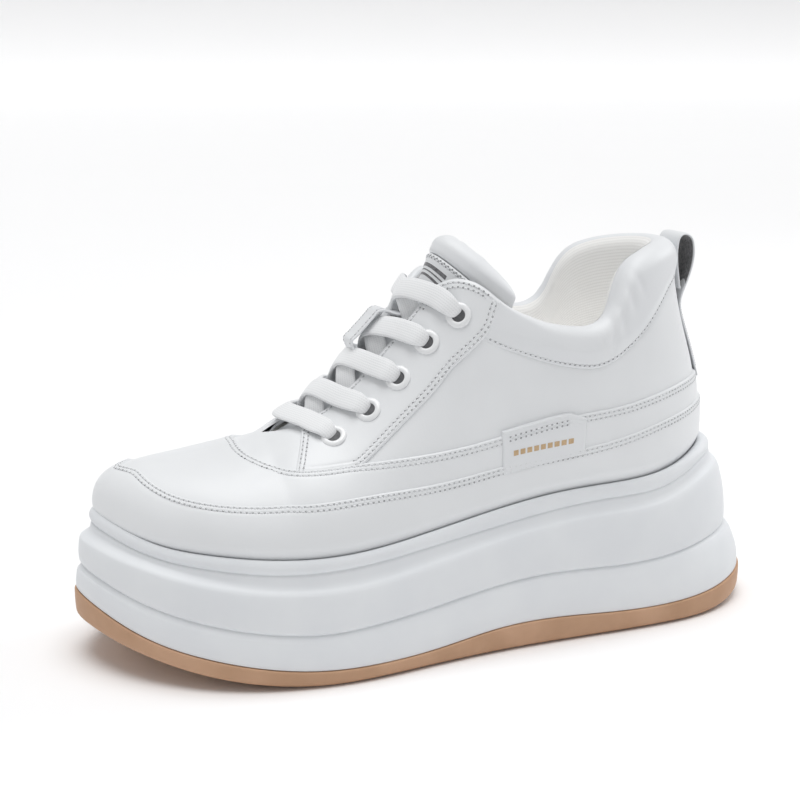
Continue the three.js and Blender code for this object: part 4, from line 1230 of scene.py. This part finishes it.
def sew_facings(pieces):
    rows = []
    for side in (1, -1):
        low, high = facing_frame(side)
        a, b = low(np.linspace(0, 1, 240)), high(0)
        rear = a[a[:, 0] > FACING_EDGE[0][0] - 0.04]
        front = a[0] + (b - a[0]) * np.linspace(0, 0.93, 80)[:, None]
        for line, away in ((rear, -1), (front, 1)):
            for d in STITCH_ROWS:
                rows.append(offset_row(side * line[:, 0], line[:, 1], away * d, FACING_HEIGHT - TROUGH))
        # One row beside the throat's edge, and a second one round the top corner.
        for (start, end, count), d in zip(((4.72, 7.04, 166), (6.3, 6.98, 66)), THROAT_STITCHES):
            s = np.linspace(start, end, count)
            rows.append(inset_row(side * s, 1 + 0 * s, d, FACING_HEIGHT - ROW_SETTLE))
    sew("facing", rows, pieces)


def sew_collar(collar):
    s = np.linspace(6.95, LAST, 400)
    places = [(side * s, share_at_height(side * s, collar_z(s))) for side in (1, -1)]
    sew("collar", [offset_row(u, v, -COLLAR_STITCH, ROW_SETTLE) for u, v in places], [collar])


# ----------------------------------------------------------------------------------------------------------
# Bands: laces, keeper and pull loop
# ----------------------------------------------------------------------------------------------------------
def smooth_path(stops, step=0.7):
    """A rounded line through rows of stops (point, normal and any sizes side by side)."""
    stops = np.asarray(stops, float)
    chord = np.linalg.norm(np.diff(stops[:, :3], axis=0), axis=1) ** 0.75
    keys = np.concatenate([[0], np.cumsum(chord)])
    line = spline(keys, stops)(np.linspace(0, keys[-1], 400))
    return resample(line, step)


def band(net, path, arch=LACE_ARCH, sides=28):
    """A flat woven band; the path's rows hold a point, a normal, the width and the thickness.

    Its edges stand back from the normal by the arch, in millimetres: one value, or one for each row.
    """
    at, up, width, thick = path[:, :3], unit(path[:, 3:6]), path[:, 6], path[:, 7]
    along = unit(np.gradient(at, axis=0))
    across = unit(np.cross(up, along))
    up = np.cross(along, across)
    angle = np.linspace(0, 2 * np.pi, sides + 1)
    c, s = np.cos(angle), np.sin(angle)
    x = np.sign(c) * np.abs(c) ** 0.55
    z = np.sign(s) * np.abs(s) ** 0.6
    w, t = width[:, None] / 2 * x, thick[:, None] / 2 * z
    bend = np.broadcast_to(arch, len(at))[:, None] * x**2
    points = at[:, None] + across[:, None] * w[..., None] + up[:, None] * (t - bend)[..., None]
    reach = np.concatenate([[0], np.cumsum(np.linalg.norm(np.diff(at, axis=0), axis=1))])
    uv = np.stack([w, np.broadcast_to(reach[:, None], w.shape)], -1)
    net.grid(points, uv, flip=True)
    for end, flip in ((0, True), (-1, False)):
        centre = np.broadcast_to(points[end].mean(0), points[end].shape)
        net.grid(np.stack([points[end], centre]), np.stack([uv[end], uv[end]]), flip=flip)
    return net


def seat_on(u, distance):
    """Place on the facing at a distance down the rib from its top edge, with its normal."""
    v = np.linspace(1, 0.3, 351)
    ribs = skin(u + 0 * v, v)
    away = np.linalg.norm(ribs - ribs[0], axis=-1)
    share = np.interp(distance, away, v)
    return skin(np.array(u), np.array(share)), skin_normal(np.array(u), np.array(share))


def on_facing(u, distance, off, width=LACE_WIDTH, thick=LACE_THICKNESS):
    place, n = seat_on(u, distance)
    return [*(place + n * off), *n, width, thick]


def on_tongue(r, w, off, width=LACE_WIDTH, thick=LACE_THICKNESS):
    n = tongue_normal(r, w)
    return [*(tongue_point(r, w) + n * off), *n, width, thick]


EYELET = {"flange": 4.7, "barrel": 3.2, "bore": 2.45, "lift": 0.85, "height": 1.0, "foot": -2.4}
HALF_LACE = LACE_THICKNESS / 2


def into_eyelet(side, edge, eyelet):
    """Stops that carry a lace from the facing's edge over a ring and down into its bore, gathered narrow."""
    crest = FACING_HEIGHT + EYELET["height"]
    over = HALF_LACE + crest

    def stop(short, off, width, thick):
        distance = EYELET_INSET - short
        station = edge + (eyelet - edge) * (distance - 1) / (EYELET_INSET - 1)
        return on_facing(side * station, distance, off, width, thick * LACE_THICKNESS)

    return [
        stop(8.5, over - 0.1, LACE_WIDTH, 1),
        stop(5.6, over + 0.3, LACE_WIDTH * 0.97, 1),
        stop(3.7, over + 0.35, LACE_WIDTH * 0.89, 1.05),
        stop(2.0, over - 0.5, 6.1, 1.15),
        stop(1.0, crest - 1.1, 4.7, 1.25),
        stop(0.6, -2.2, 4.2, 1.25),
    ]


def strand(start, cross, eyelet, edge, side, lift):
    """Stops of one strand, from low on the tongue over the middle to an eyelet of the next row."""
    return [
        on_tongue(start, -side * 0.34, HALF_LACE + 0.5 + lift * 0.3),
        on_tongue(start + (cross - start) * 0.4, -side * 0.2, HALF_LACE + 2.6 + lift * 0.6),
        on_tongue(cross, 0, HALF_LACE + 4.2 + lift),
        on_facing(side * edge, 1, HALF_LACE + 2.1),
        *into_eyelet(side, edge, eyelet),
    ]


def make_laces():
    for (row, _, _, start, cross), (_, eyelet, edge, _, _) in zip(LACING, LACING[1:]):
        net = Net()
        for side, lift in ((-1, 0.0), (1, LACE_THICKNESS * 0.95)):
            band(net, smooth_path(strand(start, cross, eyelet, edge, side, lift)))
        finished(net.object(f"lace_strands_{row}", LACE), "lace_cotton", f"lace_crossing_{row}")
    _, eyelet, edge, _, _ = LACING[0]
    outer, inner = (
        [on_facing(side * edge, 1, HALF_LACE + 1.7), *into_eyelet(side, edge, eyelet)] for side in (1, -1)
    )
    path = smooth_path([*outer[::-1], on_tongue(BAR_ROW, 0, HALF_LACE + 6), *inner])
    finished(band(Net(), path).object("lace_bar_band", LACE), "lace_cotton", "lace_bar")


def make_keeper():
    """The tongue's leather keeper, sewn down at both ends, that the laces pass under."""
    stops = []
    for t in np.linspace(0, 1, 13):
        r = KEEPER["from"] + (KEEPER["to"] - KEEPER["from"]) * t
        bow = float(smooth(min(1.3 * t, 1 - t), 0, 0.22))
        over = 0.9 + (KEEPER["rise"] - 1.2) * bow
        stops.append(on_tongue(r, 0, over, KEEPER["width"], KEEPER["thickness"]))
    path = smooth_path(stops, 0.5)
    keeper = band(Net(), path, 0.05, 36).object("tongue_keeper", SOFT_WHITE)
    finished(keeper, "white_leather", "tongue_lace_loop")
    at, up = path[:, :3], unit(path[:, 3:6])
    across = unit(np.cross(up, unit(np.gradient(at, axis=0))))
    reach = across * (KEEPER["width"] / 2 - 1.1)
    rows = [((at + reach * edge + up * (KEEPER["thickness"] / 2 - 0.03))[4:-4], up[4:-4]) for edge in (-1, 1)]
    sew("keeper", rows, [keeper])


def heel_back(z):
    v = np.linspace(0, 1, 201)
    rib = skin(LAST + 0 * v, v)
    return float(np.interp(z, rib[:, 2], rib[:, 0]))


HEEL_WRAP = 1.15  # how far the strap's edges follow the round of the heel
SEWN_DOWN = (95, 126)  # heights between which the strap is sewn to the heel
# The pull loop's dark inner sheet, painted shade inside the loop, starts above this height.
NAP_FROM = 127  # height above which its inner face shows


def make_pull_loop():
    stops = np.array([(heel_back(z) - off, float(middle(0)), z) for off, z, _ in PULL_LOOP])
    along = unit(np.gradient(stops, axis=0))
    normals = unit(np.cross(np.array([0.0, 1.0, 0.0]), along))
    rows = [[*p, *n, STRAP_WIDTH, STRAP_THICKNESS, row[2]] for p, n, row in zip(stops, normals, PULL_LOOP)]
    path = smooth_path(rows)
    wrap = HEEL_WRAP * np.clip(path[:, 8], 0, 1)
    loop = band(Net(), path, -wrap, 40).object("heel_pull_strap", WHITE)
    finished(loop, "white_leather", "heel_pull_loop")
    # Napped inner face: a thin dark sheet on the side that faces into the loop; its dark grey is painted
    # shade inside the loop.
    at, up, sideways = path[:, :3], unit(path[:, 3:6]), np.array([0, 1.0, 0])
    across = np.linspace(-1, 1, 13)[None, :, None] * (STRAP_WIDTH / 2 - 0.35)
    inner = at[:, None] + sideways * across + up[:, None] * (STRAP_THICKNESS / 2 + 0.04)
    finished(Net().grid(inner[at[:, 2] > NAP_FROM]).object("heel_pull_lining", NAP_SHADE_AND_PRINT), "lace_cotton")
    low, high = SEWN_DOWN
    sewn = (at[:, 2] > low) & (at[:, 2] < high) & (np.arange(len(at)) < len(at) // 2)
    reach = sideways * (STRAP_WIDTH / 2 - 1.3)
    rows = [((at + reach * edge - up * STRAP_THICKNESS / 2)[sewn], -up[sewn]) for edge in (-1, 1)]
    sew("pull_strap", rows, [loop])


def make_eyelets():
    """Rings as a turned section of (radius, height), each with a dark disc of painted shade in its bore."""
    f, b, o, lift, height, foot = EYELET.values()
    top = lift + height
    under = [(o, foot), (b, foot)]
    over = [(b, lift), (f, lift), (f + 0.05, lift + 0.35), (f - 0.35, lift + 0.75), (f - 0.9, top - 0.05)]
    over += [(f - 1.4, top), (o + 0.5, top - 0.12), (o + 0.12, top - 0.45), (o, top - 0.9)]
    section = np.concatenate([under, rounded(np.array(over), (1,), 3), under[:1]])
    angle = np.linspace(0, 2 * np.pi, 49)
    depth = np.array([0.0, 1.0])[:, None, None]
    for row, station, _, _, _ in LACING:
        for side, word in ((1, "outer"), (-1, "inner")):
            place, n = seat_on(side * station, EYELET_INSET)
            across = unit(np.cross(n, [0, 0, 1.0]))
            up = np.cross(n, across)
            turn = np.cos(angle)[:, None] * across + np.sin(angle)[:, None] * up
            points = place + section[:, None, :1] * turn[None] + section[:, None, 1:] * n
            uv = np.stack(np.broadcast_arrays(angle[None] * 4, section[:, 1:]), -1)
            ring = Net().grid(points, uv).object(f"eyelet_ring_{word}_{row}", ENAMEL)
            finished(ring, "white_enamel", f"eyelet_{word}_{row}")
            # A dark disc across the bore: painted shade in the hole.
            dark = place + n * (FACING_HEIGHT + 0.12) + turn[None] * (o + 0.1) * (1 - depth)
            finished(Net().grid(dark).object(f"eyelet_bore_shade_{word}_{row}", PAINTED_HOLE_SHADE), "lace_cotton")


# ----------------------------------------------------------------------------------------------------------
# Tongue
# ----------------------------------------------------------------------------------------------------------
TONGUE_END = len(TONGUE) - 1


def tongue_thickness(r):
    return TONGUE_THICKNESS + (TONGUE_ROLL - TONGUE_THICKNESS) * smooth(r, TONGUE_END - 2.4, TONGUE_END)


LABEL_LOW, LABEL_TOP, LABEL_HALF = 5.5, 7.3, 0.74  # tongue rows, and half width as a share of the tongue's
LABEL_STITCHES = (1.4, 2.9)  # distances of its rows of stitches from its edge
ROW_LENGTH, SHARE_LENGTH = 14, 21.5  # millimetres on the tongue of one row, and of its half width
LABEL_BARS = ((6.55, 6.75), (6.36, 6.42), (6.14, 6.24))  # tongue rows between which each bar lies
BAR_HALF = 0.4


def make_tongue():
    """Padded tongue: front face, a half round over its top end, and back face, closed along both sides."""
    w = np.sin(np.linspace(-1, 1, 61) * np.pi / 2)
    r = np.concatenate([np.linspace(0, LABEL_LOW, 50)[:-1], np.linspace(LABEL_LOW, TONGUE_END, 60)])
    rr, ww = np.meshgrid(r, w, indexing="ij")
    n = tongue_normal(rr, ww)
    half = tongue_thickness(rr) / 2
    edge = np.maximum(0, 1 - np.abs(ww) ** 4.5) ** 0.5
    centre = tongue_point(rr, ww) - n * half[..., None]
    seam = -dent(rr - LABEL_TOP, 1.1, 0.07) * smooth(edge, 0, 0.6)
    crown = 0.8 * smooth(rr, LABEL_TOP, LABEL_TOP + 0.35)
    front = centre + n * ((half + seam + crown) * edge)[..., None]
    back = centre - n * (half * edge)[..., None]
    turn = np.linspace(0, np.pi, 26)[1:-1, None, None]
    up = unit(centre[-1] - centre[-4])
    rise, reach = 0.95 * (half[-1] * edge[-1])[:, None], ((half[-1] + crown[-1]) * edge[-1])[:, None]
    wrinkle = (0.35 * np.sin(ww[-1] * 23) + 0.25 * np.sin(ww[-1] * 41 + 1))[:, None] * edge[-1][:, None] ** 2
    roll = centre[-1] + n[-1] * reach * np.cos(turn) + up * (rise + 0.3 * wrinkle) * np.sin(turn)
    points = np.concatenate([front, roll, back[::-1]])
    net = Net().grid(points, unrolled(points)).grid(np.stack([points[-1], points[0]]))
    tongue = net.object("tongue_padded", SOFT_WHITE)
    finished(tongue, "white_leather", "tongue")


def over_tongue(r, w, height):
    """Points at a height over the tongue, with their normals."""
    n = tongue_normal(r, w)
    return tongue_point(r, w) + n * height, n


def make_tongue_label():
    """A plain leather label sewn over the tongue below its padded top, with printed bars."""
    r = np.linspace(LABEL_LOW, LABEL_TOP, 50)
    w = np.linspace(-LABEL_HALF, LABEL_HALF, 50)
    rr, ww = np.meshgrid(r, w, indexing="ij")
    points = tongue_point(rr, ww)
    away = distance_to(points, [points[0], points[-1], points[:, 0], points[:, -1]])
    height = 0.75 - dent(away, 0.35, 0.35) - dent(away - LABEL_STITCHES[0], 0.15, 0.4)
    pads = ((1, 1), (1, 1), (0, 0))
    top = np.pad(over_tongue(rr, ww, height[..., None])[0], pads, mode="edge")
    base = np.pad(over_tongue(rr, ww, -0.6)[0], pads, mode="edge")
    top[0], top[-1], top[:, 0], top[:, -1] = base[0], base[-1], base[:, 0], base[:, -1]
    label = Net().grid(top, top[..., 1:]).object("tongue_label", WHITE)
    finished(label, "white_leather")
    rows = []
    for d in LABEL_STITCHES:
        half, end = LABEL_HALF - d / SHARE_LENGTH, LABEL_TOP - d / ROW_LENGTH
        lengthways = np.linspace(LABEL_LOW + 0.1, end, 60)
        lines = ((lengthways, -half), (lengthways, half), (end, np.linspace(-half, half, 60)))
        rows.extend(over_tongue(*line, 0.66) for line in lines)
    sew("tongue_label", rows, [label])
    net = Net()
    for low, high in LABEL_BARS:
        bar = np.meshgrid(np.linspace(low, high, 8), np.linspace(-BAR_HALF, BAR_HALF, 20), indexing="ij")
        net.grid(over_tongue(*bar, 0.79)[0])
    finished(net.object("tongue_label_print", NAP_SHADE_AND_PRINT), "lace_cotton")


# ----------------------------------------------------------------------------------------------------------
# Side patch
# ----------------------------------------------------------------------------------------------------------
PATCH_FRONT, PATCH_REAR = 7.06, 8.07
PATCH_HEIGHT = 0.85  # over the strip
PATCH_RISE, PATCH_DROP = 1.7, 3.2  # of its top edge over the strip's, and of its rear top corner
MARK_SQUARES = {"count": 9, "from": 0.16, "step": 0.083, "half": 0.03, "above": 4.0}


def make_side_patch():
    """A leather patch across the outer side's strip, tucked under the mudguard, with a row of tan squares."""
    front_end = PATCH_FRONT + np.array([0, 0.01, 0.025, 0.05, 0.09, 0.14])
    rear_end = PATCH_REAR - np.array([0.12, 0.08, 0.045, 0.02, 0])
    s = np.concatenate([front_end, np.linspace(PATCH_FRONT + 0.2, PATCH_REAR - 0.18, 50), rear_end])
    rise = PATCH_RISE - PATCH_DROP * smooth(s, PATCH_REAR - 0.25, PATCH_REAR + 0.05)
    high = share_at_height(s, strip_z(s) + rise)
    uu, vv = between(s, mudguard_top(s) - 0.04, s, high, 14, (), NEAR_EDGE)
    points = skin(uu, vv)
    borders = [points[-1], points[:, 0], points[:, -1]]
    height = STRIP_HEIGHT + edge_height(distance_to(points, borders), PATCH_HEIGHT)
    patch = panel("side_patch", uu, vv, height, "tlr", SOFT_WHITE)
    s = s[(s > PATCH_FRONT + 0.06) & (s < PATCH_REAR - 0.12)]
    edge = share_at_height(s, strip_z(s) + 1.0)
    sew("side_patch", [inset_row(s, edge, d + 0.6, STRIP_HEIGHT + 0.7) for d in STITCH_ROWS], [patch])
    net = Net()
    count, first, step, half, above = MARK_SQUARES.values()
    across, up = np.meshgrid(np.linspace(-half, half, 6), np.linspace(-1.0, 1.0, 6), indexing="ij")
    for k in range(count):
        station = PATCH_FRONT + first + k * step + across
        share = share_at_height(station, mudguard_z(station) + above + up)
        net.grid(laid(station, share, 0 * share + STRIP_HEIGHT + 0.9), flip=True)
    finished(net.object("side_patch_mark", MARK), "lace_cotton")


# ----------------------------------------------------------------------------------------------------------
# Camera, floor and lights
# ----------------------------------------------------------------------------------------------------------
CAMERA = {"place": (222.6, 532.6, 215.9), "turn": 21.5, "rise": 12.5, "lens": 69.62, "sensor": 36}


def make_camera():
    data = bpy.data.cameras.new("camera")
    data.lens, data.sensor_width = CAMERA["lens"], CAMERA["sensor"]
    data.clip_start, data.clip_end = 0.01, 20
    camera = bpy.data.objects.new("camera", data)
    bpy.context.scene.collection.objects.link(camera)
    turn, rise = np.radians(CAMERA["turn"]), np.radians(CAMERA["rise"])
    back = Vector((np.sin(turn) * np.cos(rise), np.cos(turn) * np.cos(rise), np.sin(rise)))
    right = Vector((-np.cos(turn), np.sin(turn), 0))
    up = back.cross(right)
    place = Matrix.Translation(Vector(CAMERA["place"]) * MM)
    camera.matrix_world = place @ Matrix((right, up, back)).transposed().to_4x4()
    bpy.context.scene.camera = camera


AREA_LIGHTS = [  # name, place, target, width, power
    ("rear_softbox", (-1.0, -0.1, 0.6), (-0.1, 0, 0.06), 0.5, 2.1),
    ("inside_light", (-0.045, 0.014, 0.08), (-0.05, -0.03, 0.118), 0.06, 0.012),
]
WORLD_STRENGTH = 0.4
OVERHEAD = {"energy": 2.05, "angle": 45, "tilt": (-1, 1, 0)}  # degrees


def area_light(name, place, target, size, power):
    data = bpy.data.lights.new(name, "AREA")
    data.shape, data.size, data.energy = "DISK", size, power
    light = bpy.data.objects.new(name, data)
    bpy.context.scene.collection.objects.link(light)
    aim = Vector(target) - Vector(place)
    light.matrix_world = Matrix.Translation(Vector(place)) @ aim.to_track_quat("-Z", "Y").to_matrix().to_4x4()


def make_stage():
    """A pale floor that curves up into a backdrop behind the shoe."""
    near, far, wide, bend, top, drop = 25.0, 9.0, 25.0, 2.0, 4.0, 0.0001
    angle = np.linspace(0, np.pi / 2, 16)
    depth = [near, 0.0, -far, *(-far - bend * np.sin(angle)), -far - bend]
    rise = [0.0, 0.0, 0.0, *(bend * (1 - np.cos(angle))), top]
    mesh = bpy.data.meshes.new("floor")
    work = bmesh.new()
    rows = [[work.verts.new((x, y, z - drop)) for x in (-wide, wide)] for y, z in zip(depth, rise)]
    for (a, b), (c, d) in zip(rows, rows[1:]):
        work.faces.new((a, b, d, c))
    bmesh.ops.remove_doubles(work, verts=work.verts, dist=1e-4)
    work.to_mesh(mesh)
    work.free()
    mesh.shade_smooth()
    floor = bpy.data.objects.new("floor", mesh)
    bpy.context.scene.collection.objects.link(floor)
    nodes = Nodes("pale_floor", (0.95, 0.95, 0.955), 0.6, Specular_IOR_Level=0.2)
    nodes.colour(nodes.ramp(nodes.noise(3, 2), [(0, (0.945, 0.945, 0.95)), (1, (0.955, 0.955, 0.96))]))
    floor.data.materials.append(nodes.material)


def make_light():
    world = bpy.data.worlds.new("studio")
    bpy.context.scene.world = world
    world.use_nodes = True
    background = next(n for n in world.node_tree.nodes if n.type == "BACKGROUND")
    background.inputs["Color"].default_value = (1, 1, 1, 1)
    background.inputs["Strength"].default_value = WORLD_STRENGTH
    sky = bpy.data.lights.new("overhead_light", "SUN")
    sky.energy, sky.angle = OVERHEAD["energy"], np.radians(OVERHEAD["angle"])
    overhead = bpy.data.objects.new("overhead_light", sky)
    bpy.context.scene.collection.objects.link(overhead)
    overhead.rotation_euler = np.radians(OVERHEAD["tilt"])
    for light in AREA_LIGHTS:
        area_light(*light)
    view = bpy.context.scene.view_settings
    view.view_transform = "Standard"
    view.look = "None"


make_camera()
make_stage()
make_light()
for make in (make_outsole, make_midsole, make_insole, make_upper_skin, make_lining):
    make()
collar, mudguard, strip = make_collar(), make_mudguard(), make_strip()
facings = [make_facing(1, "outer"), make_facing(-1, "inner")]
for make in (make_tongue, make_tongue_label, make_side_patch, make_eyelets):
    make()
for make in (make_keeper, make_laces, make_pull_loop):
    make()
sew_panels(mudguard, strip)
sew_facings(facings)
sew_collar(collar)
